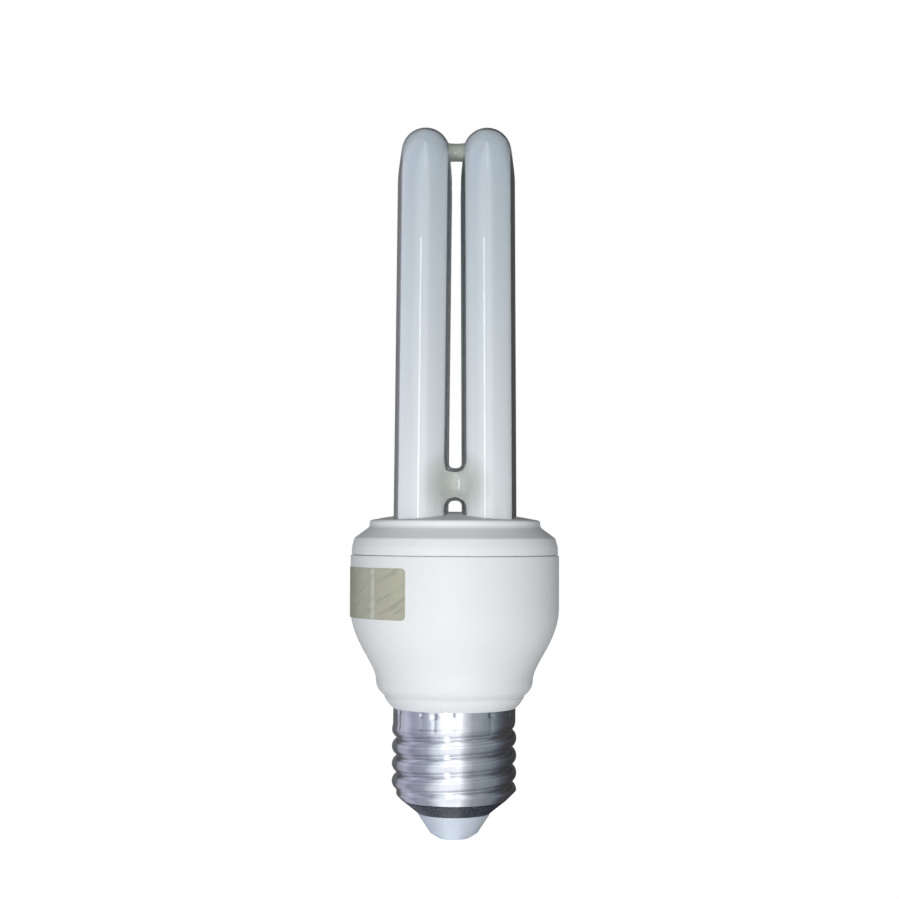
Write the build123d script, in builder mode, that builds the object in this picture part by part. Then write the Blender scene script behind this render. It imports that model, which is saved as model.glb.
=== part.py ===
# Compact fluorescent lamp with two U tubes, a goblet shaped ballast housing and an E27 screw cap.
# Upright, +Z along the lamp's axis. The origin is on the axis, at the lowest face of the centre contact.
# The two U tubes stand side by side along X, and each one spans from its front leg (-Y) to its back leg.

import os
from math import cos, pi, radians, sin, sqrt, tan

from build123d import *

os.makedirs("parts", exist_ok=True)

# Screw cap
contact_height = 5.3
contact_top_radius = 7.5
contact_base_radius = 5.0
contact_face_radius = 3.0
contact_wall = 0.45
contact_edge_height = 1.4
rim_height = 8.1
rim_radius = 11.0
thread_pitch = 3.629
thread_crest_radius = 13.1
thread_depth = 0.95
thread_ridge_width = 3.4
first_crest_height = 10.25
collar_height = 16.2
collar_length = 2.9
collar_bevel = 0.6
collar_radius = 12.9
shell_wall = 0.35
stake_count = 12
stake_radius = 0.75
stake_depth = 0.22
stake_drop = 1.1
insulator_bore_radius = 1.6
insulator_seat = 1.0

# Ballast housing
housing_wall = 1.6
neck_length = 6.5
neck_wall = 1.5
lip_radius = 14.7
lip_height = 2.1
step_radius = 16.55
step_height = 3.9
waist_height = 15.2
housing_radius = 22.0
belly_height = 11.1
fit_clearance = 0.1

# Tube cover
cover_wall = 1.5
cover_side_height = 2.9
shoulder_radius = 3.4
waist_radius = 1.2
rim_band_radius = 18.0
rim_band_height = 1.9
rim_edge_radius = 0.8
shoulder_slope_height = 2.9
cover_dome = 1.4
skirt_length = 4.9
skirt_wall = 1.3

# Discharge tube
leg_radius = 5.65
apex_radius = 5.1
leg_spacing = 14.15
leg_pitch = 16.4
lean = 0.42
overall_height = 150.2
leg_depth = 9.2
leg_end_fillet = 2.4
bridge_height = 5.6
bridge_radius = 3.1
bridge_flare_radius = 4.1
bridge_flare_reach = 3.3
bond_radius = 2.1

# Sockets of the cover
socket_clearance = 0.45
socket_wall = 1.1
socket_depth = 6.4
cement_depth = 5.0

# Sticker
sticker_thickness = 0.12
sticker_height = 11.2
sticker_drop = 2.5
sticker_angle = 84.0
sticker_middle_angle = 201.0
sticker_corner = 0.95

# Circuit board and what it carries. The widths and places of what it carries are for a board of the
# drawn radius, and go in and out with the board
drawn_board_radius = 20.1
board_thickness = 1.6
board_gap = 0.3
rib_count = 4
rib_width = 1.4
rib_reach = 2.2
rib_length = 9.0
can_radius = 5.0
can_length = 16.5
can_edge_radius = 0.5
can_groove_radius = 0.4
can_groove_drop = 1.8
can_place = (-6.5, -7.5)
core_length = 12.6
core_width = 13.0
core_thickness = 6.0
core_leg = 3.2
core_side = 1.6
core_yoke = 1.6
choke_place = (6.8, -6.8)
bobbin_height = 11.0
bobbin_flange = 0.7
bobbin_wall = 0.5
bobbin_play = 0.15
winding_height = 10.4
winding_corner = 1.5
toroid_radius = 4.7
toroid_bore_radius = 2.5
toroid_thickness = 3.2
toroid_winding_wall = 0.6
toroid_winding_count = 3
toroid_winding_arc = 72
toroid_place = (-11.0, 6.2)
transistor_radius = 2.4
transistor_length = 4.6
transistor_stand = 2.0
transistor_leg_pitch = 1.27
transistor_leg_width = 0.45
transistor_places = ((-4.0, 13.5), (2.6, 13.5))
resonant_size = (9.0, 4.5, 8.5)
resonant_place = (10.0, 5.6)
coupling_size = (7.0, 3.5, 7.0)
coupling_place = (10.2, 11.4)
film_corner = 0.8
diode_radius = 1.35
diode_length = 5.2
diode_count = 4
resistor_radius = 1.15
resistor_length = 6.2
resistor_count = 4
diac_radius = 0.95
diac_length = 4.0
diac_place = (0.0, -12.5)
row_offset = 8.0
row_pitch = 4.0
wire_overhang = 1.6
wire_radius = 0.3
pin_width = 0.9
pin_height = 3.4
pin_reach = 15.2
electrode_offset = 2.0
main_lead_radius = 0.55
main_lead_offset = 2.0
main_lead_setback = 4.0

# Heights along the axis
collar_bottom = rim_height + collar_height
collar_top = collar_bottom + collar_length
lip_top = collar_top + lip_height
step_top = lip_top + step_height
belly_bottom = step_top + waist_height
seam = belly_bottom + belly_height
shoulder_top = seam + cover_side_height
band_bottom = shoulder_top + shoulder_slope_height
band_top = band_bottom + rim_band_height
cover_top = band_top + cover_dome
leg_bottom = cover_top - leg_depth
board_top = seam - skirt_length
board_bottom = board_top - board_thickness
neck_bottom = collar_top - neck_length

# Radii that follow from the fits
thread_root_radius = thread_crest_radius - thread_depth
shell_bore_radius = thread_root_radius - shell_wall
collar_bore_radius = collar_radius - shell_wall
cone_top = rim_height + thread_root_radius - rim_radius
neck_radius = shell_bore_radius - fit_clearance
housing_bore_radius = housing_radius - housing_wall
skirt_radius = housing_bore_radius - fit_clearance
board_radius = housing_bore_radius - board_gap
bend_radius = leg_pitch / 2
dome_reach = rim_band_radius - 2 * rim_edge_radius
dome_radius = (dome_reach ** 2 + cover_dome ** 2) / (2 * cover_dome)

# Widths and places on the board
board_share = board_radius / drawn_board_radius
can_radius, core_length, core_width, core_leg, core_side, core_yoke = (
    board_share * size for size in (can_radius, core_length, core_width, core_leg, core_side, core_yoke)
)
toroid_radius, toroid_bore_radius, transistor_radius = (
    board_share * size for size in (toroid_radius, toroid_bore_radius, transistor_radius)
)
diode_length, resistor_length, diac_length = (
    board_share * size for size in (diode_length, resistor_length, diac_length)
)
row_offset, row_pitch, pin_reach = (board_share * size for size in (row_offset, row_pitch, pin_reach))
can_place, choke_place, toroid_place, resonant_place, coupling_place, diac_place, *transistor_places = (
    (board_share * x, board_share * y)
    for x, y in (
        can_place, choke_place, toroid_place, resonant_place, coupling_place, diac_place, *transistor_places
    )
)
resonant_size, coupling_size = (
    (board_share * length, board_share * width, height)
    for length, width, height in (resonant_size, coupling_size)
)


# Discharge tube: each U is two straight legs and a bend whose section narrows to its apex
straight_length = (overall_height - apex_radius - bend_radius - cover_top) / cos(radians(lean))


def leaning_plane(side, distance):
    """Plane square to the legs of the U on this side, distance along its legs from the cover's top."""
    up = Vector(-side * sin(radians(lean)), 0, cos(radians(lean)))
    foot = Vector(side * leg_spacing / 2, 0, cover_top)
    return Plane(origin=foot + up * distance, x_dir=(0, 1, 0), z_dir=up)


with BuildPart() as discharge_tube:
    for side in (-1, 1):
        with BuildSketch(leaning_plane(side, -leg_depth)):
            with Locations((-leg_pitch / 2, 0), (leg_pitch / 2, 0)):
                Circle(leg_radius)
        extrude(amount=leg_depth + straight_length)
    leg_ends = discharge_tube.faces().filter_by(GeomType.PLANE).group_by(Axis.Z)[0]
    fillet(leg_ends.edges(), leg_end_fillet)
    for side in (-1, 1):
        springing = leaning_plane(side, straight_length)
        arch_plane = Plane(origin=springing.origin, x_dir=springing.x_dir, z_dir=-springing.y_dir)
        with BuildLine(arch_plane) as arch:
            CenterArc((0, 0), bend_radius, 0, 180)
        for place, radius in ((0, leg_radius), (0.5, apex_radius), (1, leg_radius)):
            with BuildSketch(Plane(origin=arch.line @ place, z_dir=arch.line % place)):
                Circle(radius)
        sweep(path=arch.line, multisection=True)
    bridge_middle = (0, -leg_pitch / 2, cover_top + bridge_height)
    with BuildSketch(Plane(origin=bridge_middle, x_dir=(1, 0, 0), z_dir=(0, -1, 0))):
        with BuildLine():
            left_edge = (-bridge_flare_reach, bridge_flare_radius)
            right_edge = (bridge_flare_reach, bridge_flare_radius)
            ThreePointArc(left_edge, (0, bridge_radius), right_edge)
            Polyline(right_edge, (bridge_flare_reach, 0), (-bridge_flare_reach, 0), left_edge)
        make_face()
    revolve(axis=Axis(bridge_middle, (1, 0, 0)))
discharge_tube.part.label = "discharge_tube"
export_step(discharge_tube.part, "parts/discharge_tube.step")


# Bead that bonds the tops of the two bends
bond_height = overall_height - apex_radius
bond_reach = leg_spacing / 2 - (bond_height - cover_top) * tan(radians(lean))
with BuildPart() as top_bond:
    with BuildSketch(Plane.YZ.offset(-bond_reach)):
        with Locations((0, bond_height)):
            Circle(bond_radius)
    extrude(amount=2 * bond_reach)
    add(discharge_tube.part, mode=Mode.SUBTRACT)
top_bond.part.label = "top_bond"
export_step(top_bond.part, "parts/top_bond.step")


# Tube cover: domed top, rim band, sloped shoulder, side wall, and a skirt inside the housing
socket_radius = leg_radius + socket_clearance
leg_places = [
    (side * leg_spacing / 2, end * leg_pitch / 2)
    for side in (-1, 1)
    for end in (-1, 1)
]
with BuildPart() as tube_cover:
    with BuildSketch(Plane.XZ):
        with BuildLine():
            dome = RadiusArc((0, cover_top), (dome_reach, band_top), dome_radius)
            side_wall = FilletPolyline(
                dome @ 1,
                (rim_band_radius, band_top),
                (rim_band_radius, band_bottom),
                (housing_radius, shoulder_top),
                (housing_radius, seam),
                radius=[rim_edge_radius, waist_radius, shoulder_radius],
            )
            Polyline(
                side_wall @ 1,
                (skirt_radius, seam),
                (skirt_radius, board_top),
                (skirt_radius - skirt_wall, board_top),
                (skirt_radius - skirt_wall, shoulder_top - cover_wall / 2),
                (rim_band_radius - cover_wall, band_bottom),
                (rim_band_radius - cover_wall, band_top - cover_wall),
                (0, band_top - cover_wall),
                (0, cover_top),
            )
        make_face()
    revolve(axis=Axis.Z)
    with BuildSketch(Plane.XY.offset(band_top - cover_wall - socket_depth)):
        with Locations(*leg_places):
            Circle(socket_radius + socket_wall)
    extrude(amount=socket_depth)
    with BuildSketch(Plane.XY.offset(band_top - cover_wall - socket_depth)):
        with Locations(*leg_places):
            Circle(socket_radius)
    extrude(amount=socket_depth + cover_wall + cover_dome, mode=Mode.SUBTRACT)
tube_cover.part.label = "tube_cover"
export_step(tube_cover.part, "parts/tube_cover.step")


# Cement that beds each leg in its socket
with BuildPart() as tube_cement:
    with BuildSketch(Plane.XY.offset(band_top - cover_wall / 2 - cement_depth)):
        with Locations(*leg_places):
            Circle(socket_radius)
    extrude(amount=cement_depth)
    add(discharge_tube.part, mode=Mode.SUBTRACT)
tube_cement.part.label = "tube_cement"
export_step(tube_cement.part, "parts/tube_cement.step")


# Ballast housing: lip, step, S shaped waist and straight belly, with a neck that stands in the cap
with BuildPart() as ballast_housing:
    for inset, mode in ((0, Mode.ADD), (housing_wall, Mode.SUBTRACT)):
        with BuildSketch(Plane.XZ):
            with BuildLine():
                lip_start = (collar_radius - inset, collar_top)
                lip = ThreePointArc(
                    lip_start,
                    (lip_radius - 0.45 - inset, collar_top + 0.4 * lip_height),
                    (lip_radius - inset, lip_top),
                )
                step = ThreePointArc(
                    (lip_radius + 0.25 - inset, lip_top),
                    (step_radius - 0.5 - inset, lip_top + 0.45 * step_height),
                    (step_radius - inset, step_top),
                )
                Line(lip @ 1, step @ 0)
                waist = Bezier(
                    step @ 1,
                    (step_radius - inset, step_top + 0.23 * waist_height),
                    (housing_radius - inset, belly_bottom - 0.46 * waist_height),
                    (housing_radius - inset, belly_bottom),
                )
                Polyline(waist @ 1, (housing_radius - inset, seam), (0, seam), (0, collar_top), lip_start)
            make_face()
        revolve(axis=Axis.Z, mode=mode)
    with BuildSketch(Plane.XY.offset(neck_bottom)):
        Circle(neck_radius)
        Circle(neck_radius - neck_wall, mode=Mode.SUBTRACT)
    extrude(amount=neck_length + housing_wall)
    with BuildSketch(Plane.XY.offset(collar_bottom + collar_bevel + fit_clearance)):
        Circle(collar_bore_radius - fit_clearance)
        Circle(neck_radius - neck_wall, mode=Mode.SUBTRACT)
    extrude(amount=collar_length - collar_bevel)
    with BuildSketch(Plane.XY.offset(board_bottom)):
        with PolarLocations(housing_bore_radius - rib_reach / 2, rib_count):
            Rectangle(rib_reach + housing_wall, rib_width)
    extrude(amount=-rib_length)
ballast_housing.part.label = "ballast_housing"
export_step(ballast_housing.part, "parts/ballast_housing.step")


# Sticker: a patch of the belly's surface with rounded corners, a film on the outside of the wall
with BuildPart() as label_sticker:
    sticker_top = seam - sticker_drop
    with BuildSketch(Plane.XY.offset(sticker_top - sticker_height)):
        Circle(housing_radius + sticker_thickness)
        Circle(housing_radius, mode=Mode.SUBTRACT)
    extrude(amount=sticker_height)
    sticker_width = 2 * housing_radius * sin(radians(sticker_angle / 2))
    middle = radians(sticker_middle_angle)
    facing = Plane(
        origin=(0, 0, sticker_top - sticker_height / 2),
        x_dir=(-sin(middle), cos(middle), 0),
        z_dir=(cos(middle), sin(middle), 0),
    )
    with BuildSketch(facing):
        RectangleRounded(sticker_width, sticker_height, sticker_corner)
    extrude(amount=2 * housing_radius, mode=Mode.INTERSECT)
label_sticker.part.label = "label_sticker"
export_step(label_sticker.part, "parts/label_sticker.step")


# Screw shell: a cone, a core at the thread's root and a plain collar. The thread is a rounded ridge
# along a right hand helix, trimmed to the cone at its foot and lost in the collar at its top. The blank
# is drawn with the helix starting at +X, and half a turn later its lowest crest is at +X.
wall_draw = shell_wall * sqrt(2)
ridge_start = first_crest_height - thread_pitch / 2
ridge_length = collar_bottom + thread_ridge_width / 4 - ridge_start
trim_reach = 2 * thread_depth + thread_root_radius - rim_radius
with BuildPart() as shell_blank:
    with BuildSketch(Plane.XZ):
        Polygon(
            (0, rim_height),
            (rim_radius, rim_height),
            (thread_root_radius, cone_top),
            (thread_root_radius, collar_bottom),
            (collar_radius, collar_bottom + collar_bevel),
            (collar_radius, collar_top),
            (0, collar_top),
            align=None,
        )
    revolve(axis=Axis.Z)
    with BuildLine(Plane.XY.offset(ridge_start)) as thread_path:
        Helix(thread_pitch, ridge_length, thread_root_radius)
    with BuildSketch(Plane(origin=thread_path.line @ 0, x_dir=(1, 0, 0), z_dir=thread_path.line % 0)):
        with BuildLine():
            foot = thread_ridge_width / 2
            Polyline((0, -foot), (-shell_wall / 2, -foot), (-shell_wall / 2, foot), (0, foot))
            ThreePointArc((0, -foot), (thread_depth, 0), (0, foot))
        make_face()
    sweep(path=thread_path.line, is_frenet=True)
    with BuildSketch(Plane.XZ):
        Polygon(
            (rim_radius + shell_wall / 10, 0),
            (rim_radius + shell_wall / 10, rim_height),
            (rim_radius + trim_reach, rim_height + trim_reach),
            (rim_radius + trim_reach, 0),
            align=None,
        )
    revolve(axis=Axis.Z, mode=Mode.SUBTRACT)
    with BuildSketch(Plane.XZ):
        Polygon(
            (0, 0),
            (rim_radius - wall_draw, 0),
            (rim_radius - wall_draw, rim_height),
            (shell_bore_radius, rim_height + wall_draw + shell_bore_radius - rim_radius),
            (shell_bore_radius, collar_bottom),
            (collar_bore_radius, collar_bottom + collar_bevel),
            (collar_bore_radius, seam),
            (0, seam),
            align=None,
        )
    revolve(axis=Axis.Z, mode=Mode.SUBTRACT)

with BuildPart() as screw_shell:
    add(shell_blank.part, rotation=(0, 0, 180))
    with PolarLocations(collar_radius + stake_radius - stake_depth, stake_count, 270):
        with Locations((0, 0, collar_top - stake_drop)):
            Sphere(stake_radius, mode=Mode.SUBTRACT)
screw_shell.part.label = "screw_shell"
export_step(screw_shell.part, "parts/screw_shell.step")


# Glass insulator: fills the foot of the shell and carries its cone on down to the contact
insulator_top = rim_height + wall_draw + shell_bore_radius - rim_radius + insulator_seat
with BuildPart() as cap_insulator:
    with BuildSketch(Plane.XZ):
        Polygon(
            (insulator_bore_radius, contact_height),
            (contact_top_radius, contact_height),
            (rim_radius, rim_height),
            (rim_radius - wall_draw, rim_height),
            (shell_bore_radius, insulator_top - insulator_seat),
            (shell_bore_radius, insulator_top),
            (insulator_bore_radius, insulator_top),
            align=None,
        )
    revolve(axis=Axis.Z)
cap_insulator.part.label = "cap_insulator"
export_step(cap_insulator.part, "parts/cap_insulator.step")


# Centre contact: a pressed cup with sloped sides, a rounded edge and a shallow face
with BuildPart() as centre_contact:
    for inset, mode in ((0, Mode.ADD), (contact_wall, Mode.SUBTRACT)):
        with BuildSketch(Plane.XZ):
            with BuildLine():
                side = Line(
                    (contact_top_radius - inset, contact_height),
                    (contact_base_radius - inset / 2, contact_edge_height + inset / 2),
                )
                edge = TangentArc(side @ 1, (contact_face_radius - inset / 2, inset), tangent=side % 1)
                Polyline(edge @ 1, (0, inset), (0, contact_height), side @ 0)
            make_face()
        revolve(axis=Axis.Z, mode=mode)
centre_contact.part.label = "centre_contact"
export_step(centre_contact.part, "parts/centre_contact.step")


# Circuit board: it stands on the housing's ribs and the cover's skirt holds it down
with BuildPart() as circuit_board:
    with BuildSketch(Plane.XY.offset(board_bottom)):
        Circle(board_radius)
    extrude(amount=board_thickness)
circuit_board.part.label = "circuit_board"
export_step(circuit_board.part, "parts/circuit_board.step")


# Smoothing capacitor: a can with a rolled groove near the board and rounded edges
with BuildPart() as smoothing_capacitor:
    with BuildSketch(Plane.XY.offset(board_bottom)):
        with Locations(can_place):
            Circle(can_radius)
    extrude(amount=-can_length)
    fillet(smoothing_capacitor.edges().filter_by(GeomType.CIRCLE), can_edge_radius)
    with Locations((*can_place, board_bottom - can_groove_drop)):
        Torus(can_radius + can_groove_radius / 2, can_groove_radius, mode=Mode.SUBTRACT)
smoothing_capacitor.part.label = "smoothing_capacitor"
export_step(smoothing_capacitor.part, "parts/smoothing_capacitor.step")


# Choke: a ferrite frame with a middle leg along X, a bobbin on that leg and the winding on the bobbin
choke_x, choke_y = choke_place
choke_height = board_bottom - bobbin_height / 2
bobbin_length = core_length - 2 * core_yoke
core_window = (core_width - core_leg) / 2 - core_side
with BuildPart() as choke_core:
    with BuildSketch(Plane.XY.offset(choke_height - core_thickness / 2)):
        with Locations(choke_place):
            Rectangle(core_length, core_width)
            with GridLocations(0, core_leg + core_window, 1, 2):
                Rectangle(bobbin_length, core_window, mode=Mode.SUBTRACT)
    extrude(amount=core_thickness)
choke_core.part.label = "choke_core"
export_step(choke_core.part, "parts/choke_core.step")

bobbin_start = Plane.YZ.offset(choke_x - bobbin_length / 2)
winding_start = bobbin_start.offset(bobbin_flange)
with BuildPart() as choke_bobbin:
    for place in (0, bobbin_length - bobbin_flange):
        with BuildSketch(bobbin_start.offset(place)):
            with Locations((choke_y, choke_height)):
                Rectangle(core_leg + 2 * core_window - 2 * bobbin_play, bobbin_height)
        extrude(amount=bobbin_flange)
    with BuildSketch(winding_start):
        with Locations((choke_y, choke_height)):
            Rectangle(core_leg + 2 * bobbin_wall, core_thickness + 2 * bobbin_wall)
    extrude(amount=bobbin_length - 2 * bobbin_flange)
    with BuildSketch(bobbin_start):
        with Locations((choke_y, choke_height)):
            Rectangle(core_leg, core_thickness)
    extrude(amount=bobbin_length, mode=Mode.SUBTRACT)
choke_bobbin.part.label = "choke_bobbin"
export_step(choke_bobbin.part, "parts/choke_bobbin.step")

with BuildPart() as choke_winding:
    with BuildSketch(winding_start):
        with Locations((choke_y, choke_height)):
            RectangleRounded(core_leg + 2 * core_window - 4 * bobbin_play, winding_height, winding_corner)
            Rectangle(core_leg + 2 * bobbin_wall, core_thickness + 2 * bobbin_wall, mode=Mode.SUBTRACT)
    extrude(amount=bobbin_length - 2 * bobbin_flange)
choke_winding.part.label = "choke_winding"
export_step(choke_winding.part, "parts/choke_winding.step")


# Drive toroid: a ferrite ring flat under the board, with three short windings round it
toroid_x, toroid_y = toroid_place
toroid_height = board_bottom - toroid_winding_wall - toroid_thickness / 2
toroid_axis = Axis((toroid_x, toroid_y, 0), (0, 0, 1))
ring_middle = (toroid_radius + toroid_bore_radius) / 2
ring_width = toroid_radius - toroid_bore_radius
with BuildPart() as drive_toroid:
    with BuildSketch(Plane.XZ.offset(-toroid_y)):
        with Locations((toroid_x + ring_middle, toroid_height)):
            Rectangle(ring_width, toroid_thickness)
    revolve(axis=toroid_axis)
drive_toroid.part.label = "drive_toroid"
export_step(drive_toroid.part, "parts/drive_toroid.step")

with BuildPart() as toroid_windings:
    for index in range(toroid_winding_count):
        start_angle = radians(360 * index / toroid_winding_count)
        outward = (cos(start_angle), sin(start_angle), 0)
        section_plane = Plane(
            origin=(toroid_x, toroid_y, toroid_height),
            x_dir=outward,
            z_dir=(sin(start_angle), -cos(start_angle), 0),
        )
        with BuildSketch(section_plane):
            with Locations((ring_middle, 0)):
                Rectangle(ring_width + 2 * toroid_winding_wall, toroid_thickness + 2 * toroid_winding_wall)
                Rectangle(ring_width, toroid_thickness, mode=Mode.SUBTRACT)
        revolve(axis=toroid_axis, revolution_arc=toroid_winding_arc)
toroid_windings.part.label = "toroid_windings"
export_step(toroid_windings.part, "parts/toroid_windings.step")


# Transistors: round bodies with one flat, each on three legs
for number, place in enumerate(transistor_places, start=1):
    with BuildPart() as transistor:
        with BuildSketch(Plane.XY.offset(board_bottom - transistor_stand)):
            with Locations(place):
                Circle(transistor_radius)
            with Locations((place[0], place[1] - transistor_radius)):
                Rectangle(2 * transistor_radius, transistor_radius, mode=Mode.SUBTRACT)
        extrude(amount=-transistor_length)
        with BuildSketch(Plane.XY.offset(board_bottom)):
            with Locations(place):
                with GridLocations(transistor_leg_pitch, 0, 3, 1):
                    Rectangle(transistor_leg_width, transistor_leg_width)
        extrude(amount=-transistor_stand)
    transistor.part.label = f"transistor_{number}"
    export_step(transistor.part, f"parts/transistor_{number}.step")


# Film capacitors: dipped blocks with rounded corners that stand against the board
for name, place, size in (
    ("resonant_capacitor", resonant_place, resonant_size),
    ("coupling_capacitor", coupling_place, coupling_size),
):
    length, width, height = size
    with BuildPart() as film_capacitor:
        with BuildSketch(Plane.XY.offset(board_bottom)):
            with Locations(place):
                RectangleRounded(length, width, film_corner)
        extrude(amount=-height)
        fillet(film_capacitor.faces().sort_by(Axis.Z)[0].edges(), film_corner / 2)
    film_capacitor.part.label = name
    export_step(film_capacitor.part, f"parts/{name}.step")


# Parts with a body on a wire that is bent down to the board at both ends, lying on the board's top
def row_places(x, count):
    """Places of count bodies in a row across the board, centred on its middle."""
    return [(x, (index - (count - 1) / 2) * row_pitch) for index in range(count)]


for name, places, body_radius, body_length in (
    ("rectifier_diodes", row_places(-row_offset, diode_count), diode_radius, diode_length),
    ("resistors", row_places(row_offset, resistor_count), resistor_radius, resistor_length),
    ("diac", [diac_place], diac_radius, diac_length),
):
    with BuildPart() as axial_parts:
        for x, y in places:
            foot_reach = body_length / 2 + wire_overhang
            wire_height = board_top + body_radius
            feet = (x - foot_reach, y, board_top), (x + foot_reach, y, board_top)
            with BuildLine() as wire_path:
                Polyline(
                    feet[0],
                    (x - foot_reach, y, wire_height),
                    (x + foot_reach, y, wire_height),
                    feet[1],
                )
            with BuildSketch(Plane.XY.offset(board_top)):
                with Locations((x - foot_reach, y)):
                    Circle(wire_radius)
            sweep(path=wire_path.line, transition=Transition.RIGHT)
            with BuildSketch(Plane.YZ.offset(x - body_length / 2)):
                with Locations((y, wire_height)):
                    Circle(body_radius)
            extrude(amount=body_length)
    axial_parts.part.label = name
    export_step(axial_parts.part, f"parts/{name}.step")


# Wrap pins on the board, and the electrode leads that come down from the two back legs to them
pin_places = [
    (side * leg_spacing / 2 + offset, pin_reach)
    for side in (-1, 1)
    for offset in (-electrode_offset, electrode_offset)
]
with BuildPart() as wrap_pins:
    with BuildSketch(Plane.XY.offset(board_top)):
        with Locations(*pin_places):
            Rectangle(pin_width, pin_width)
    extrude(amount=pin_height)
wrap_pins.part.label = "wrap_pins"
export_step(wrap_pins.part, "parts/wrap_pins.step")

with BuildPart() as electrode_leads:
    lead_height = board_top + pin_height - pin_width
    for x, y in pin_places:
        with BuildLine() as lead_path:
            Polyline(
                (x, leg_pitch / 2, leg_bottom),
                (x, leg_pitch / 2, lead_height),
                (x, y - pin_width / 2, lead_height),
            )
        with BuildSketch(Plane.XY.offset(leg_bottom)):
            with Locations((x, leg_pitch / 2)):
                Circle(wire_radius)
        sweep(path=lead_path.line, transition=Transition.RIGHT)
electrode_leads.part.label = "electrode_leads"
export_step(electrode_leads.part, "parts/electrode_leads.step")


# Mains leads: one runs down the axis to the centre contact, the other turns out under the neck to the
# shell's wall
lead_turn_height = lip_top
neck_bore_radius = neck_radius - neck_wall
shell_lead_height = neck_bottom - 2.4 * main_lead_radius
shell_lead_x = neck_bore_radius - 3 * main_lead_radius
contact_lead_points = [
    (-main_lead_offset, main_lead_setback, board_bottom),
    (-main_lead_offset, main_lead_setback, lead_turn_height),
    (0, 0, insulator_top + 4 * main_lead_radius),
    (0, 0, contact_wall),
]
shell_lead_points = [
    (main_lead_offset, main_lead_setback, board_bottom),
    (main_lead_offset, main_lead_setback, step_top),
    (shell_lead_x, 0, neck_bottom + 3 * main_lead_radius),
    (shell_lead_x, 0, shell_lead_height),
    (shell_bore_radius - main_lead_radius / 30, 0, shell_lead_height),
]
for name, points in (("contact_lead", contact_lead_points), ("shell_lead", shell_lead_points)):
    with BuildPart() as main_lead:
        with BuildLine() as main_path:
            FilletPolyline(*points, radius=1.5 * main_lead_radius)
        with BuildSketch(Plane(origin=main_path.line @ 0, z_dir=main_path.line % 0)):
            Circle(main_lead_radius)
        sweep(path=main_path.line)
    main_lead.part.label = name
    export_step(main_lead.part, f"parts/{name}.step")
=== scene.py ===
"""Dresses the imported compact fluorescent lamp: meshes, finishes, floor, lights and camera.

The lamp stands upright on its centre contact. Sizes in the classes are in millimetres, along the same axes as
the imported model: X to the right of the photograph, Y away from the camera, Z up the lamp's axis.
"""

import logging
import math
from collections.abc import Callable
from dataclasses import dataclass, field
from enum import Enum

import bmesh
import bpy
from mathutils import Matrix, Vector

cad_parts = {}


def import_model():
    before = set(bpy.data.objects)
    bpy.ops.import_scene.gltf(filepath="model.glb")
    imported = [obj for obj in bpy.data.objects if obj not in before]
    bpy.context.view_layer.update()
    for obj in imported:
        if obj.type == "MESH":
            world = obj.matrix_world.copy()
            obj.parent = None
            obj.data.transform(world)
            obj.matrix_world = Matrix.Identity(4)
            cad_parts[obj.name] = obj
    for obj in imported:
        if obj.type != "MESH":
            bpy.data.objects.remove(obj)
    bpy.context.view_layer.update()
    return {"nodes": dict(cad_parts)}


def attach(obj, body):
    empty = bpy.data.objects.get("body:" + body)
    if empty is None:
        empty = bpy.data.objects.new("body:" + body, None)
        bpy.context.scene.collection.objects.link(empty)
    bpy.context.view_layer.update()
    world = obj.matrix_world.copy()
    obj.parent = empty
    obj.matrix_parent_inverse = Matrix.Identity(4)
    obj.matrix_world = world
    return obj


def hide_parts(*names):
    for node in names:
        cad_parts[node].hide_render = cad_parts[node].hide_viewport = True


MM = 0.001
BODY = "root"
DOUBLED = 0.0005
WHITE = (1.0, 1.0, 1.0)
LOG = logging.getLogger("lamp")

Point = tuple[float, float]
Colour = tuple[float, float, float]
Piece = bpy.types.Object
Socket = bpy.types.NodeSocket
Material = bpy.types.Material


class Side(Enum):
    """The two U tubes, by the side of the axis that they stand on."""

    LEFT = -1
    RIGHT = 1


class Grain(Enum):
    """How a finish's fine pattern lies on the piece."""

    EVEN = (1.0, 1.0, 1.0)
    ROUND_THE_AXIS = (0.12, 0.12, 1.0)
    ALONG_THE_AXIS = (1.0, 1.0, 0.08)


# Helpers for outlines


def byte_colour(red: int, green: int, blue: int) -> Colour:
    """Turn a colour given in screen values into scene values.

    Args:
        red: Red from 0 to 255.
        green: Green from 0 to 255.
        blue: Blue from 0 to 255.

    Returns:
        The colour as three linear shares.
    """
    def linear(value: int) -> float:
        """Linear share of one screen value."""
        share = value / 255
        return share / 12.92 if share <= 0.04045 else ((share + 0.055) / 1.055) ** 2.4

    return linear(red), linear(green), linear(blue)


def rounded(corners: list[tuple[float, ...]], steps: int = 6) -> list[Point]:
    """Round the corners of an open outline.

    Args:
        corners: Radius and height of each corner, and for a rounded corner its rounding too.
        steps: Points along each rounding.

    Returns:
        The outline's points, the first and last corner among them.
    """
    points: list[Point] = [(corners[0][0], corners[0][1])]
    for before, corner, after in zip(corners, corners[1:], corners[2:]):
        place = Vector(corner[:2])
        if len(corner) < 3:
            points.append((place.x, place.y))
            continue
        back = (Vector(before[:2]) - place).normalized()
        ahead = (Vector(after[:2]) - place).normalized()
        half = back.angle(ahead) / 2
        reach = corner[2] / math.tan(half)
        centre = place + (back + ahead).normalized() * (corner[2] / math.sin(half))
        first = place + back * reach - centre
        turn = first.angle_signed(place + ahead * reach - centre)
        for step in range(steps + 1):
            spoke = Matrix.Rotation(-turn * step / steps, 2) @ first
            points.append((centre.x + spoke.x, centre.y + spoke.y))
    points.append((corners[-1][0], corners[-1][1]))
    return points


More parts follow.
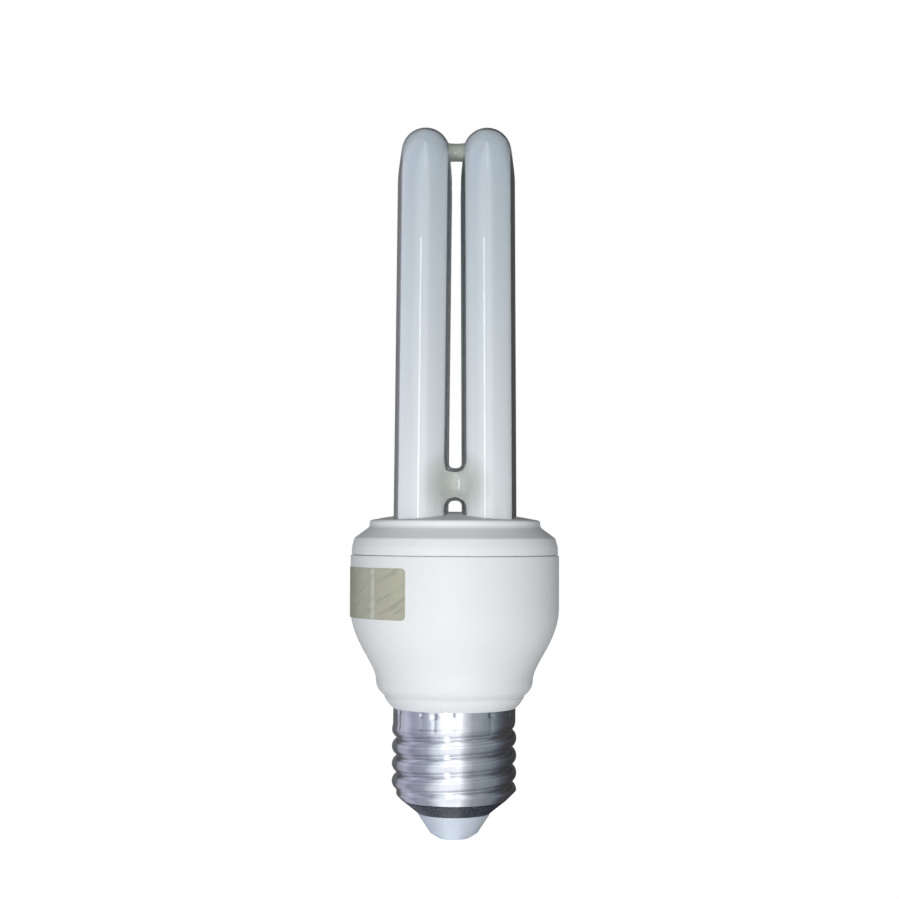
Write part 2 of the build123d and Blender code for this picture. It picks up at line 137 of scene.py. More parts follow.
def bowed(start: Point, end: Point, bulge: float, steps: int = 8) -> list[Point]:
    """Points along a shallow arc.

    Args:
        start: Radius and height where it starts.
        end: Radius and height where it ends.
        bulge: How far its middle stands to the right of the straight line.
        steps: Number of parts.

    Returns:
        The arc's points, both ends among them.
    """
    run = Vector(end) - Vector(start)
    across = Vector((run.y, -run.x)).normalized()
    points = []
    for step in range(steps + 1):
        share = step / steps
        place = Vector(start) + run * share + across * (4 * bulge * share * (1 - share))
        points.append((place.x, place.y))
    return points


def eased(start: Point, start_pull: Point, end_pull: Point, end: Point, steps: int = 24) -> list[Point]:
    """Points along a cubic curve.

    Args:
        start: Radius and height where it starts.
        start_pull: The point that it leaves towards.
        end_pull: The point that it arrives from.
        end: Radius and height where it ends.
        steps: Number of parts.

    Returns:
        The curve's points, both ends among them.
    """
    points = []
    for step in range(steps + 1):
        share = step / steps
        rest = 1 - share
        weights = (rest ** 3, 3 * rest ** 2 * share, 3 * rest * share ** 2, share ** 3)
        place = sum((weight * Vector(p) for weight, p in zip(weights, (start, start_pull, end_pull, end))),
                    Vector((0, 0)))
        points.append((place.x, place.y))
    return points


def smooth_step(value: float) -> float:
    """Ease from 0 to 1 as value goes from 0 to 1."""
    share = min(max(value, 0.0), 1.0)
    return share * share * (3 - 2 * share)


# Helpers for meshes


def select_none() -> None:
    """Leave every object unselected, in object mode."""
    if bpy.context.object is not None and bpy.context.object.mode != "OBJECT":
        bpy.ops.object.mode_set(mode="OBJECT")
    bpy.ops.object.select_all(action="DESELECT")


def select_only(piece: Piece) -> None:
    """Make one object the active and only selected one."""
    select_none()
    piece.select_set(True)
    bpy.context.view_layer.objects.active = piece


def added(name: str, operator: Callable, **settings: object) -> Piece:
    """Add a primitive mesh.

    Args:
        name: Name of the new object.
        operator: The operator that adds it.
        **settings: The operator's settings.

    Returns:
        The new object.
    """
    select_none()
    operator(**settings)
    bpy.context.object.name = name
    return bpy.context.object


def edit_all() -> None:
    """Open the active mesh for editing, with all of it selected."""
    bpy.ops.object.mode_set(mode="EDIT")
    bpy.ops.mesh.select_all(action="SELECT")


def select_where(piece: Piece, wanted: Callable[[Vector], bool]) -> None:
    """Select some of a mesh's vertices, and the edges and faces between them.

    Args:
        piece: The mesh's object, in edit mode.
        wanted: Tells from a vertex's place whether it is selected.
    """
    bpy.ops.mesh.select_mode(type="VERT")
    bpy.ops.mesh.select_all(action="DESELECT")
    mesh = bmesh.from_edit_mesh(piece.data)
    for vertex in mesh.verts:
        vertex.select = wanted(vertex.co)
    mesh.select_flush(True)
    bmesh.update_edit_mesh(piece.data)


def closed_up(piece: Piece) -> None:
    """Merge a mesh's doubled vertices, turn its faces outwards and leave edit mode."""
    bpy.ops.mesh.select_all(action="SELECT")
    bpy.ops.mesh.remove_doubles(threshold=DOUBLED * MM)
    bpy.ops.mesh.normals_make_consistent(inside=False)
    bpy.ops.object.mode_set(mode="OBJECT")
    LOG.debug("%s has %d vertices", piece.name, len(piece.data.vertices))


def smoothed(piece: Piece, angle: float) -> Piece:
    """Shade a mesh smooth except over edges of this many degrees or more."""
    select_only(piece)
    bpy.ops.object.shade_smooth_by_angle(angle=math.radians(angle))
    return piece


def turned(name: str, outline: list[Point], segments: int = 160) -> Piece:
    """Turn an outline round the lamp's axis, as on a lathe.

    One vertex is extruded from point to point, and the line is then spun a whole turn. An outline that comes
    back to its first point, or starts and ends on the axis, makes a closed piece.

    Args:
        name: Name of the new object.
        outline: Radius and height of each point.
        segments: Number of faces round the axis.

    Returns:
        The new object, which isn't shaded yet.
    """
    piece = added(name, bpy.ops.mesh.primitive_plane_add, size=MM)
    edit_all()
    bpy.ops.mesh.merge(type="CENTER")
    bpy.ops.transform.translate(value=(outline[0][0] * MM, 0, outline[0][1] * MM))
    for (radius, height), (next_radius, next_height) in zip(outline, outline[1:]):
        step = ((next_radius - radius) * MM, 0, (next_height - height) * MM)
        bpy.ops.mesh.extrude_vertices_move(TRANSFORM_OT_translate={"value": step})
    bpy.ops.mesh.select_all(action="SELECT")
    bpy.ops.mesh.spin(steps=segments, angle=math.tau, center=(0, 0, 0), axis=(0, 0, 1))
    closed_up(piece)
    return piece


def moved(piece: Piece, matrix: Matrix) -> Piece:
    """Put a mesh elsewhere and leave its object at the origin.

    Args:
        piece: The mesh's object.
        matrix: Where the mesh goes, with lengths in metres.

    Returns:
        The same object.
    """
    select_only(piece)
    piece.matrix_world = matrix
    bpy.ops.object.transform_apply(location=True, rotation=True, scale=True)
    return piece


def copied(piece: Piece, name: str) -> Piece:
    """Copy an object with a mesh of its own.

    Args:
        piece: The object to copy.
        name: Name of the copy.

    Returns:
        The copy.
    """
    twin = piece.copy()
    twin.data = piece.data.copy()
    twin.name = name
    bpy.context.scene.collection.objects.link(twin)
    return twin


def joined(pieces: list[Piece]) -> Piece:
    """Join meshes into the first one.

    Args:
        pieces: The objects to join.

    Returns:
        The first object, which now holds all the meshes.
    """
    select_only(pieces[0])
    for piece in pieces:
        piece.select_set(True)
    bpy.ops.object.join()
    return pieces[0]


def combined(piece: Piece, tool: Piece, operation: str) -> Piece:
    """Unite a mesh with another one, or cut it with that.

    Args:
        piece: The object that stays.
        tool: The object that is used up.
        operation: UNION or DIFFERENCE.

    Returns:
        The first object.
    """
    select_only(piece)
    modifier = piece.modifiers.new("combine", "BOOLEAN")
    modifier.operation = operation
    modifier.solver = "EXACT"
    modifier.object = tool
    bpy.ops.object.modifier_apply(modifier=modifier.name)
    bpy.data.objects.remove(tool)
    return piece


def flipped(piece: Piece) -> Piece:
    """Turn a closed mesh's faces inwards, so that it is the inner face of a wall."""
    select_only(piece)
    edit_all()
    bpy.ops.mesh.flip_normals()
    bpy.ops.object.mode_set(mode="OBJECT")
    return piece


# Finishes


@dataclass
class Recipe:
    """The nodes of a material, or of the world, while they are put together."""

    name: str
    output_kind: str = "ShaderNodeOutputMaterial"
    holder: bpy.types.ID = field(init=False)

    def __post_init__(self) -> None:
        """Start with nothing but an output node and the piece's own coordinates."""
        kinds = bpy.data.worlds if self.output_kind == "ShaderNodeOutputWorld" else bpy.data.materials
        self.holder = kinds.new(self.name)
        self.holder.use_nodes = True
        self.tree = self.holder.node_tree
        self.tree.nodes.clear()
        self.output = self.node(self.output_kind)
        self.place = self.node("ShaderNodeTexCoord").outputs["Object"]

    def node(self, kind: str, *values: object, **inputs: object) -> bpy.types.Node:
        """Add a node and fill its sockets.

        Args:
            kind: Type name of the node.
            *values: What its first sockets get, in order.
            **inputs: Socket names, with _ for a space, and what each gets.

        Returns:
            The new node.
        """
        node = self.tree.nodes.new(kind)
        for socket, value in zip(node.inputs, values):
            self.fill(socket, value)
        for name, value in inputs.items():
            self.fill(node.inputs[name.replace("_", " ")], value)
        return node

    def fill(self, socket: Socket, value: object) -> None:
        """Set a socket, or link another one to it.

        Args:
            socket: The socket that is filled.
            value: A number, colour or vector, or an output socket.
        """
        if isinstance(value, Socket):
            self.tree.links.new(value, socket)
        elif isinstance(value, tuple) and socket.type == "RGBA":
            socket.default_value = (*value, 1.0)
        else:
            socket.default_value = value

    def show(self, socket: Socket) -> bpy.types.ID:
        """Let the finished material or world show a shader, and return it."""
        self.fill(self.output.inputs["Surface"], socket)
        return self.holder

    def principled(self, **inputs: object) -> Material:
        """Let the finished material show a principled shader with these inputs, and return it."""
        return self.show(self.node("ShaderNodeBsdfPrincipled", **inputs).outputs["BSDF"])

    def emission(self, colour: object, strength: object) -> Material:
        """Let the finished material glow with this colour and strength, and return it."""
        return self.show(self.node("ShaderNodeEmission", colour, strength).outputs["Emission"])

    def blended(self, share: Socket, first: bpy.types.Node, second: bpy.types.Node) -> bpy.types.ID:
        """Let the finished material or world show two shaders mixed.

        Args:
            share: Socket with the second shader's share.
            first: The first shader's node.
            second: The second shader's node.

        Returns:
            The material or world.
        """
        mix = self.node("ShaderNodeMixShader", share, first.outputs[0], second.outputs[0])
        return self.show(mix.outputs["Shader"])

    def noise(self, per_metre: float, grain: Grain = Grain.EVEN, detail: float = 3.0) -> Socket:
        """Noise on the piece's own coordinates.

        Args:
            per_metre: Its scale.
            grain: How it is drawn out.
            detail: Number of finer layers.

        Returns:
            The noise's value.
        """
        drawn_out = self.node("ShaderNodeMapping", Vector=self.place, Scale=grain.value).outputs["Vector"]
        texture = self.node("ShaderNodeTexNoise", Vector=drawn_out, Scale=per_metre, Detail=detail)
        return texture.outputs["Fac"]

    def between(self, value: Socket, low: object = 0.0, high: object = 1.0, start: float = 0.3,
                end: float = 0.7) -> Socket:
        """Carry a value from one range into another.

        Args:
            value: The socket that is read.
            low: Result at the start, as a number or a socket.
            high: Result at the end.
            start: Value that gives the low result.
            end: Value that gives the high result.

        Returns:
            The result's socket.
        """
        return self.node("ShaderNodeMapRange", value, start, end, low, high).outputs["Result"]

    def worked_out(self, operation: str, first: object, second: object = 0.0) -> Socket:
        """Work out a value from two others.

        Args:
            operation: Name of the math node's operation.
            first: A number or a socket.
            second: A number or a socket.

        Returns:
            The result's socket.
        """
        node = self.node("ShaderNodeMath", first, second)
        node.operation = operation
        return node.outputs["Value"]

    def away(self, value: Socket, middle: float) -> Socket:
        """How far a value lies from a middle one, on either side."""
        return self.worked_out("ABSOLUTE", self.worked_out("SUBTRACT", value, middle))

    def distance(self, point: Vector) -> Socket:
        """Distance from a point, in the piece's own coordinates."""
        node = self.node("ShaderNodeVectorMath", self.place, point)
        node.operation = "DISTANCE"
        return node.outputs["Value"]

    def seen_rays(self) -> Socket:
        """A socket that is 1 for rays from the camera, from gloss and through glass, and otherwise 0."""
        path = self.node("ShaderNodeLightPath").outputs
        mirrored = self.worked_out("MAXIMUM", path["Is Camera Ray"], path["Is Glossy Ray"])
        return self.worked_out("MAXIMUM", mirrored, path["Is Transmission Ray"])

    def ramp(self, share: Socket, stops: list[tuple[float, Colour]]) -> Socket:
        """Pick a colour along a row of stops.

        Args:
            share: Socket with the place, from 0 to 1.
            stops: Place and colour of each stop, in order.

        Returns:
            The colour's socket.
        """
        node = self.node("ShaderNodeValToRGB", Fac=share)
        elements = node.color_ramp.elements
        elements.remove(elements[1])
        for index, (place, colour) in enumerate(stops):
            element = elements[0] if index == 0 else elements.new(place)
            element.position = place
            element.color = (*colour, 1.0)
        return node.outputs["Color"]

    def mixed(self, share: Socket, first: object, second: object) -> Socket:
        """Mix two colours.

        Args:
            share: Socket with the second colour's share.
            first: A colour or a colour socket.
            second: A colour or a colour socket.

        Returns:
            The mixed colour's socket.
        """
        node = self.node("ShaderNodeMix", share)
        node.data_type = "RGBA"
        self.fill(node.inputs[6], first)
        self.fill(node.inputs[7], second)
        return node.outputs[2]

    def bump(self, height: Socket, depth: float, strength: float = 0.4) -> Socket:
        """A surface's small relief.

        Args:
            height: Socket with the height.
            depth: Greatest depth in millimetres.
            strength: How much of it shows.

        Returns:
            The normal's socket.
        """
        node = self.node("ShaderNodeBump", Strength=strength, Distance=depth * MM, Height=height)
        return node.outputs["Normal"]


@dataclass(frozen=True)
class Finish:
    """A plain finish: a colour that varies a little, with its gloss and a fine relief."""

    name: str
    slot: str
    colour: Colour
    second: Colour
    roughness: float = 0.5
    metallic: float = 0.0
    patches: float = 220.0
    fine: float = 2600.0
    relief: float = 0.01
    grain: Grain = Grain.EVEN

    @property
    def material_name(self) -> str:
        """Name of its material, which no packed material has."""
        return self.name + "_finish"

    def shaded(self, share: float) -> Colour:
        """The first colour times a share, and at most white."""
        return tuple(min(1.0, share * part) for part in self.colour)

    def material(self) -> Material:
        """Put the finish's nodes together.

        Returns:
            The material.
        """
        recipe = Recipe(self.material_name)
        cloud = recipe.between(recipe.noise(self.patches, self.grain))
        fine = recipe.noise(self.fine, self.grain)
        return recipe.principled(
            Base_Color=recipe.mixed(cloud, self.colour, self.second),
            Roughness=recipe.between(fine, self.roughness * 0.8, min(1.0, self.roughness * 1.2)),
            Metallic=self.metallic,
            Normal=recipe.bump(fine, self.relief),
        )

    def dress(self, piece: Piece) -> None:
        """Give a piece this finish as its only material."""
        material = bpy.data.materials.get(self.material_name) or self.material()
        piece.data.materials.clear()
        piece.data.materials.append(material)


@dataclass(frozen=True)
class ClearGlass(Finish):
    """Drawn glass tube. Lamps shine through it onto the coating, and its edges show the surroundings."""

    def material(self) -> Material:
        """Put the glass together.

        Returns:
            The material.
        """
        recipe = Recipe(self.material_name)
        waves = recipe.noise(self.patches, Grain.ALONG_THE_AXIS, 2.0)
        glass = recipe.node(
            "ShaderNodeBsdfPrincipled",
            Base_Color=self.colour,
            Roughness=self.roughness,
            IOR=1.5,
            Transmission_Weight=1.0,
            Normal=recipe.bump(waves, self.relief, 0.25),
        )
        open_to_lamps = recipe.node("ShaderNodeBsdfTransparent", Color=self.second)
        path = recipe.node("ShaderNodeLightPath")
        return recipe.blended(path.outputs["Is Shadow Ray"], glass, open_to_lamps)


@dataclass(frozen=True)
class Phosphor(Finish):
    """White powder inside the glass, with painted shade that greys it towards the bends, greyer in the
    bridge, and a few specks.
    """

    thin_place: tuple[float, float, float] = (0.0, -11.5, 74.2)
    thin_reach: tuple[float, float] = (3.5, 8.0)
    thin_colour: Colour = (0.40, 0.41, 0.38)
    painted_shade_heights: tuple[float, float] = (70, 150)

    def material(self) -> Material:
        """Put the coating together.

        Returns:
            The material.
        """
        recipe = Recipe(self.material_name)
        height = recipe.node("ShaderNodeSeparateXYZ", Vector=recipe.place).outputs["Z"]
        # Painted shade: the coating darkens and greys from the lower heights up to the bends, standing in for
        # the light falling off there.
        upwards = recipe.between(height, 0.0, 1.0, *(place * MM for place in self.painted_shade_heights))
        cloud = recipe.between(recipe.noise(self.patches, Grain.ALONG_THE_AXIS))
        body = recipe.mixed(upwards, self.colour, self.second)
        pale = recipe.mixed(upwards, self.shaded(1.05), self.second)
        specks = recipe.between(recipe.noise(self.fine, detail=1.0), 0.0, 1.0, 0.80, 0.84)
        coat = recipe.mixed(specks, recipe.mixed(cloud, body, pale), self.shaded(0.72))
        from_bridge = recipe.distance(Vector(self.thin_place) * MM)
        thin = recipe.between(from_bridge, 0.85, 0.0, *(reach * MM for reach in self.thin_reach))
        return recipe.principled(
            Base_Color=recipe.mixed(thin, coat, self.thin_colour),
            Roughness=self.roughness,
            Diffuse_Roughness=1.0,
            Sheen_Weight=0.35,
            Sheen_Roughness=0.6,
            Specular_IOR_Level=0.2,
        )


@dataclass(frozen=True)
class MouldedPlastic(Finish):
    """White moulded plastic with a soft gloss, faint flow clouds and a trace of handling dust."""

    def material(self) -> Material:
        """Put the plastic together.

        Returns:
            The material.
        """
        recipe = Recipe(self.material_name)
        cloud = recipe.between(recipe.noise(self.patches))
        dust = recipe.between(recipe.noise(900.0, detail=4.0), 0.0, 0.35, 0.62, 0.78)
        body = recipe.mixed(cloud, self.colour, self.second)
        return recipe.principled(
            Base_Color=recipe.mixed(dust, body, self.shaded(0.86)),
            Roughness=recipe.between(recipe.noise(140.0), self.roughness * 0.85, self.roughness * 1.2),
            Specular_IOR_Level=0.35,
            Normal=recipe.bump(recipe.noise(self.fine, detail=2.0), self.relief, 0.25),
        )


@dataclass(frozen=True)
class PlatedMetal(Finish):
    """Nickel plated sheet, with rolling marks round the axis, scuffs and duller patches."""

    def material(self) -> Material:
        """Put the metal together.

        Returns:
            The material.
        """
        recipe = Recipe(self.material_name)
        cloud = recipe.between(recipe.noise(self.patches, detail=5.0), 0.0, 1.0, 0.35, 0.65)
        rolling = recipe.noise(self.fine, Grain.ROUND_THE_AXIS, 5.0)
        scuffs = recipe.between(recipe.noise(2100.0, detail=2.0), 0.0, 0.6, 0.66, 0.74)
        body = recipe.mixed(cloud, self.colour, self.second)
        patchy = recipe.between(cloud, self.roughness * 0.75, self.roughness * 1.15, 0.0, 1.0)
        return recipe.principled(
            Base_Color=recipe.mixed(scuffs, body, self.shaded(0.7)),
            Roughness=recipe.worked_out("ADD", patchy, recipe.between(scuffs, 0.0, 0.2, 0.0, 1.0)),
            Metallic=self.metallic,
            Normal=recipe.bump(rolling, self.relief, 0.5),
        )


@dataclass(frozen=True)
class SpeckledGlass(Finish):
    """Dark pressed glass of the cap, with fine paler specks under a gloss."""

    def material(self) -> Material:
        """Put the dark glass together.

        Returns:
            The material.
        """
        recipe = Recipe(self.material_name)
        specks = recipe.between(recipe.noise(self.fine, detail=2.0), 0.0, 1.0, 0.58, 0.68)
        cloud = recipe.between(recipe.noise(self.patches), 0.0, 0.5)
        body = recipe.mixed(cloud, self.colour, self.shaded(1.5))
        return recipe.principled(
            Base_Color=recipe.mixed(specks, body, self.second),
            Roughness=recipe.between(recipe.noise(1200.0), self.roughness * 0.7, self.roughness * 1.4),
            Specular_IOR_Level=0.35,
            Normal=recipe.bump(recipe.noise(self.fine), self.relief, 0.5),
        )


@dataclass(frozen=True)
class Silicone(Finish):
    """Translucent bead with a greenish cast and a few small bubbles."""

    def material(self) -> Material:
        """Put the bead's material together.

        Returns:
            The material.
        """
        recipe = Recipe(self.material_name)
        fine = recipe.noise(self.fine)
        return recipe.principled(
            Base_Color=recipe.mixed(recipe.between(recipe.noise(self.patches)), self.colour, self.second),
            Roughness=recipe.between(fine, self.roughness * 0.8, self.roughness * 1.3),
            IOR=1.42,
            Transmission_Weight=0.45,
            Normal=recipe.bump(fine, self.relief, 0.4),
        )


@dataclass(frozen=True)
class StickerFilm(Finish):
    """Aged film with slanting creases towards one end and painted shade in them, a painted pale highlight
    streak, and painted shade along its edges.
    """

    crease_angle: float = -28.0
    crease_stretch: float = 3.1
    crease_scale: tuple[float, float, float] = (1.3, 9.0, 1.0)
    # Place, reach and colour of the painted highlight streak down the film.
    highlight_place: float = 0.735
    highlight_reach: tuple[float, float] = (0.012, 0.034)
    highlight_colour: Colour = (0.78, 0.79, 0.77)
    # Where the painted shade along the edges starts, across and up.
    edge_shade_start: tuple[float, float] = (0.485, 0.455)

    def material(self) -> Material:
        """Put the film together.

        Returns:
            The material.
        """
        recipe = Recipe(self.material_name)
        flat = recipe.node("ShaderNodeTexCoord").outputs["UV"]
        across, up = recipe.node("ShaderNodeSeparateXYZ", Vector=flat).outputs[:2]
        slant, stretch = (0, 0, math.radians(self.crease_angle)), (self.crease_stretch, 1.0, 1.0)
        even = recipe.node("ShaderNodeMapping", Vector=flat, Rotation=slant, Scale=stretch)
        creases = recipe.node("ShaderNodeMapping", Vector=even.outputs["Vector"], Scale=self.crease_scale)
        texture = recipe.node("ShaderNodeTexNoise", Vector=creases.outputs["Vector"], Scale=1.0, Detail=2.0)
        folds = texture.outputs["Fac"]
        cloud = recipe.between(recipe.noise(self.patches))
        film = recipe.mixed(cloud, self.colour, self.second)
        towards_end = recipe.between(across, 0.25, 1.0, 0.6, 0.9)
        # Painted shade: the film is darkened in its creases, more towards one end.
        crease_shade = recipe.worked_out("MULTIPLY", recipe.between(folds, 0.7, 0.0, 0.38, 0.46), towards_end)
        film = recipe.mixed(crease_shade, film, self.shaded(0.74))
        # Painted highlight: a pale streak painted down the film at one place across it.
        off_highlight = recipe.away(across, self.highlight_place)
        ragged = recipe.worked_out("ADD", off_highlight, recipe.between(folds, 0.0, 0.02))
        painted_highlight = recipe.between(ragged, 0.55, 0.0, *self.highlight_reach)
        film = recipe.mixed(painted_highlight, film, self.highlight_colour)
        # Painted shade: a thin darker rim painted along the film's edges.
        edge_shade = [recipe.between(recipe.away(place, 0.5), 0.0, 0.6, start, 0.5)
                for place, start in zip((across, up), self.edge_shade_start)]
        return recipe.principled(
            Base_Color=recipe.mixed(recipe.worked_out("MAXIMUM", *edge_shade), film, self.shaded(0.8)),
            Roughness=recipe.between(cloud, self.roughness * 0.85, self.roughness * 1.15, 0.0, 1.0),
            Normal=recipe.bump(recipe.between(folds, 0.0, 1.0, 0.42, 0.60), self.relief, 0.6),
        )


TUBE_GLASS = ClearGlass("clear_glass", "coated_glass", (0.94, 0.955, 0.95), (0.97, 0.98, 0.98), roughness=0.0,
                        patches=60.0, relief=0.012)
# The powder's second colour is painted shade: the darker grey the coating takes towards the bends.
POWDER = Phosphor("phosphor_powder", "coated_glass", byte_colour(209, 210, 211), byte_colour(167, 176, 186),
                  roughness=0.7, patches=90.0, fine=420.0)
WHITE_PLASTIC = MouldedPlastic("white_plastic", "white_plastic", byte_colour(244, 247, 249),
                               byte_colour(240, 243, 245), roughness=0.48, patches=70.0, fine=4200.0,
                               relief=0.006)
CEMENT = Finish("socket_cement", "cement", byte_colour(222, 218, 206), byte_colour(200, 195, 182), 0.9,
                patches=600.0, relief=0.05)
BEAD = Silicone("silicone_bead", "bond", byte_colour(206, 216, 206), byte_colour(182, 194, 184),
                roughness=0.22, patches=500.0, fine=1800.0, relief=0.03)
NICKEL = PlatedMetal("nickel_plate", "nickel_plate", (0.66, 0.67, 0.70), (0.56, 0.57, 0.61), roughness=0.13,
                     metallic=1.0, patches=260.0, fine=3800.0, relief=0.006)
CAP_GLASS = SpeckledGlass("dark_glass", "dark_glass", byte_colour(24, 28, 38), byte_colour(122, 132, 148),
                          roughness=0.3, patches=400.0, fine=5200.0, relief=0.01)
CONTACT = Finish("contact_metal", "contact_metal", (0.66, 0.72, 0.80), (0.62, 0.68, 0.76), 0.6, 0.25,
                 patches=300.0, fine=5000.0, relief=0.004)
FILM = StickerFilm("sticker_film", "sticker_film", byte_colour(191, 192, 174), byte_colour(184, 185, 166),
                   roughness=0.24, patches=260.0, relief=0.05)

INNER_FINISHES: tuple[tuple[Finish, tuple[str, ...]], ...] = (
    (Finish("board_laminate", "board_laminate", byte_colour(176, 142, 84), byte_colour(158, 122, 68), 0.45,
            patches=900.0), ("circuit_board",)),
    (Finish("can_sleeve", "can_sleeve", byte_colour(28, 30, 36), byte_colour(40, 42, 50), 0.3),
     ("smoothing_capacitor",)),
    (Finish("ferrite", "ferrite", byte_colour(62, 62, 64), byte_colour(48, 48, 50), 0.6, patches=1400.0,
            relief=0.03), ("choke_core", "drive_toroid")),
    (Finish("bobbin_plastic", "bobbin_plastic", byte_colour(226, 222, 210), byte_colour(214, 208, 194), 0.5),
     ("choke_bobbin",)),
    (Finish("copper_wire", "copper_wire", (0.72, 0.32, 0.16), (0.60, 0.25, 0.11), 0.3, 1.0, fine=5200.0,
            relief=0.05, grain=Grain.ALONG_THE_AXIS), ("choke_winding", "toroid_windings")),
    (Finish("component_plastic", "component_plastic", byte_colour(34, 34, 36), byte_colour(44, 44, 46), 0.5),
     ("transistor_1", "transistor_2", "rectifier_diodes")),
    (Finish("film_coating", "film_coating", byte_colour(126, 58, 38), byte_colour(108, 46, 30), 0.25),
     ("resonant_capacitor", "coupling_capacitor")),
    (Finish("resistor_coating", "resistor_coating", byte_colour(196, 170, 122), byte_colour(182, 154, 106),
            0.45), ("resistors",)),
    (Finish("blue_coating", "resistor_coating", byte_colour(42, 84, 150), byte_colour(34, 70, 130), 0.3),
     ("diac",)),
    (Finish("tinned_wire", "tinned_wire", (0.62, 0.61, 0.58), (0.52, 0.51, 0.48), 0.35, 1.0),
     ("wrap_pins", "electrode_leads")),
    (Finish("lead_sleeve", "lead_sleeve", byte_colour(214, 212, 204), byte_colour(200, 196, 186), 0.5),
     ("contact_lead", "shell_lead")),
)


def placed(piece: Piece, finish: Finish, *nodes: str) -> Piece:
    """Dress a finished piece, let it ride on the lamp's body and stand for its nodes.

    Args:
        piece: The finished mesh.
        finish: Its finish.
        *nodes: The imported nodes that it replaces.

    Returns:
        The same object.
    """
    finish.dress(piece)
    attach(piece, BODY)
    if nodes:
        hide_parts(*nodes)
    LOG.info("%s: %d faces, replaces %s", piece.name, len(piece.data.polygons), ", ".join(nodes) or "nothing")
    return piece


# The lamp's sub-assemblies


@dataclass
class DischargeTube:
    """Two bent glass tubes joined by a bridge, their coating, and the bead between their tops."""

    leg_radius: float = 5.65
    apex_radius: float = 5.1
    wall: float = 0.9
    coating_gap: float = 0.04
    apex_thinning: float = 0.5
    leg_spacing: float = 14.15
    leg_pitch: float = 16.4
    lean: float = 0.42
    overall_height: float = 150.2
    foot_height: float = 68.6
    foot_depth: float = 9.2
    foot_rounding: float = 2.4
    bridge_height: float = 74.2
    bridge_rings: tuple[tuple[float, float, float], ...] = (
        (0.0, 3.05, 3.15), (0.7, 3.10, 3.25), (1.3, 3.25, 3.60), (1.9, 3.45, 4.10), (2.6, 3.75, 4.70),
        (3.3, 4.10, 5.20))
    bead_rings: tuple[tuple[float, float], ...] = (
        (0.0, 1.9), (0.8, 1.92), (1.5, 1.98), (2.1, 2.1), (2.8, 2.3))
    ring_vertices: int = 96
    bend_steps: int = 48
    foot_steps: int = 5
    foot_turn: float = 80.0
    dense_reach: float = 6.5
    dense_steps: int = 26
    coarse_steps: int = 8
    blend_reach: Point = (5.2, 6.3)
    blend_merge: float = 0.06
    blend_rounds: int = 14

    @property
    def bend_radius(self) -> float:
        """Radius of each bend's centre line."""
        return self.leg_pitch / 2

    @property
    def straight(self) -> float:
        """Length of a leg from the cover's top to where its bend starts."""
        rise = self.overall_height - self.apex_radius - self.bend_radius - self.foot_height
        return rise / math.cos(math.radians(self.lean))

    def bent(self, name: str, inset: float, shorter: float) -> Piece:
        """Bend one U whose springing line lies on the XY plane.

        Args:
            name: Name of the new object.
            inset: How far its face lies inside the glass's outer face.
            shorter: How much less its feet reach down.

        Returns:
            The new object, closed at both feet.
        """
        radius = self.leg_radius - inset
        piece = added(name, bpy.ops.mesh.primitive_circle_add, vertices=self.ring_vertices,
                      radius=radius * MM, location=(0, -self.bend_radius * MM, 0))
        bpy.ops.object.transform_apply(location=True)
        edit_all()
        bpy.ops.mesh.spin(steps=self.bend_steps, angle=math.pi, center=(0, 0, 0), axis=(1, 0, 0))
        self.narrow(piece, inset)
        for end in (-1, 1):
            self.draw_leg(piece, end, radius, self.straight + self.foot_depth - shorter)
        closed_up(piece)
        return piece

    def narrow(self, piece: Piece, inset: float) -> None:
        """Draw the bend's section in towards its apex.

        Args:
            piece: The bend, in edit mode.
            inset: How far its face lies inside the glass's outer face.
        """
        mesh = bmesh.from_edit_mesh(piece.data)
        for vertex in mesh.verts:
            turn = math.atan2(vertex.co.z, -vertex.co.y)
            centre = Vector((0, -math.cos(turn), math.sin(turn))) * self.bend_radius * MM
            drawn = smooth_step(math.sin(turn))
            share = 1 - (1 - self.apex_radius / self.leg_radius) * drawn
            radius = self.leg_radius * share - inset * (1 - self.apex_thinning * drawn)
            vertex.co = centre + (vertex.co - centre).normalized() * radius * MM
        bmesh.update_edit_mesh(piece.data)

    def draw_leg(self, piece: Piece, end: int, radius: float, length: float) -> None:
        """Extrude one leg down from the end of the bend, and round and close its foot.

        Args:
            piece: The bend, in edit mode.
            end: -1 for the front leg and 1 for the back one.
            radius: The leg's radius.
            length: How far down it goes.
        """
        select_where(piece, lambda place: abs(place.z) < 0.001 * MM and place.y * end > 0)
        dense_start = self.foot_height + self.straight - self.bridge_height - self.dense_reach
        drops = [dense_start * step / self.coarse_steps for step in range(1, self.coarse_steps + 1)]
        drops += [dense_start + 2 * self.dense_reach * step / self.dense_steps
                  for step in range(1, self.dense_steps + 1)]
        drops.append(length - self.foot_rounding)
        reached = 0.0
        for drop in drops:
            self.extrude_down(drop - reached)
            reached = drop
        ring = radius
        for step in range(1, self.foot_steps + 1):
            angle = math.radians(self.foot_turn * step / self.foot_steps)
            new_ring = radius - self.foot_rounding * (1 - math.cos(angle))
            drop = length - self.foot_rounding * (1 - math.sin(angle))
            self.extrude_down(drop - reached)
            pivot = (0, end * self.bend_radius * MM, -drop * MM)
            bpy.ops.transform.resize(value=(new_ring / ring, new_ring / ring, 1), center_override=pivot)
            reached, ring = drop, new_ring
        bpy.ops.mesh.edge_face_add()

    @staticmethod
    def extrude_down(step: float) -> None:
        """Extrude the selected ring straight down by a step in millimetres."""
        bpy.ops.mesh.extrude_region_move(TRANSFORM_OT_translate={"value": (0, 0, -step * MM)})

    def stood(self, piece: Piece, side: Side) -> Piece:
        """Put a bent U on its side of the axis, leaning in.

        Args:
            piece: The U, with its springing line on the XY plane.
            side: Where it stands.

        Returns:
            The same object.
        """
        foot = Matrix.Translation((side.value * self.leg_spacing / 2 * MM, 0, self.foot_height * MM))
        lean = Matrix.Rotation(-side.value * math.radians(self.lean), 4, "Y")
        return moved(piece, foot @ lean @ Matrix.Translation((0, 0, self.straight * MM)))

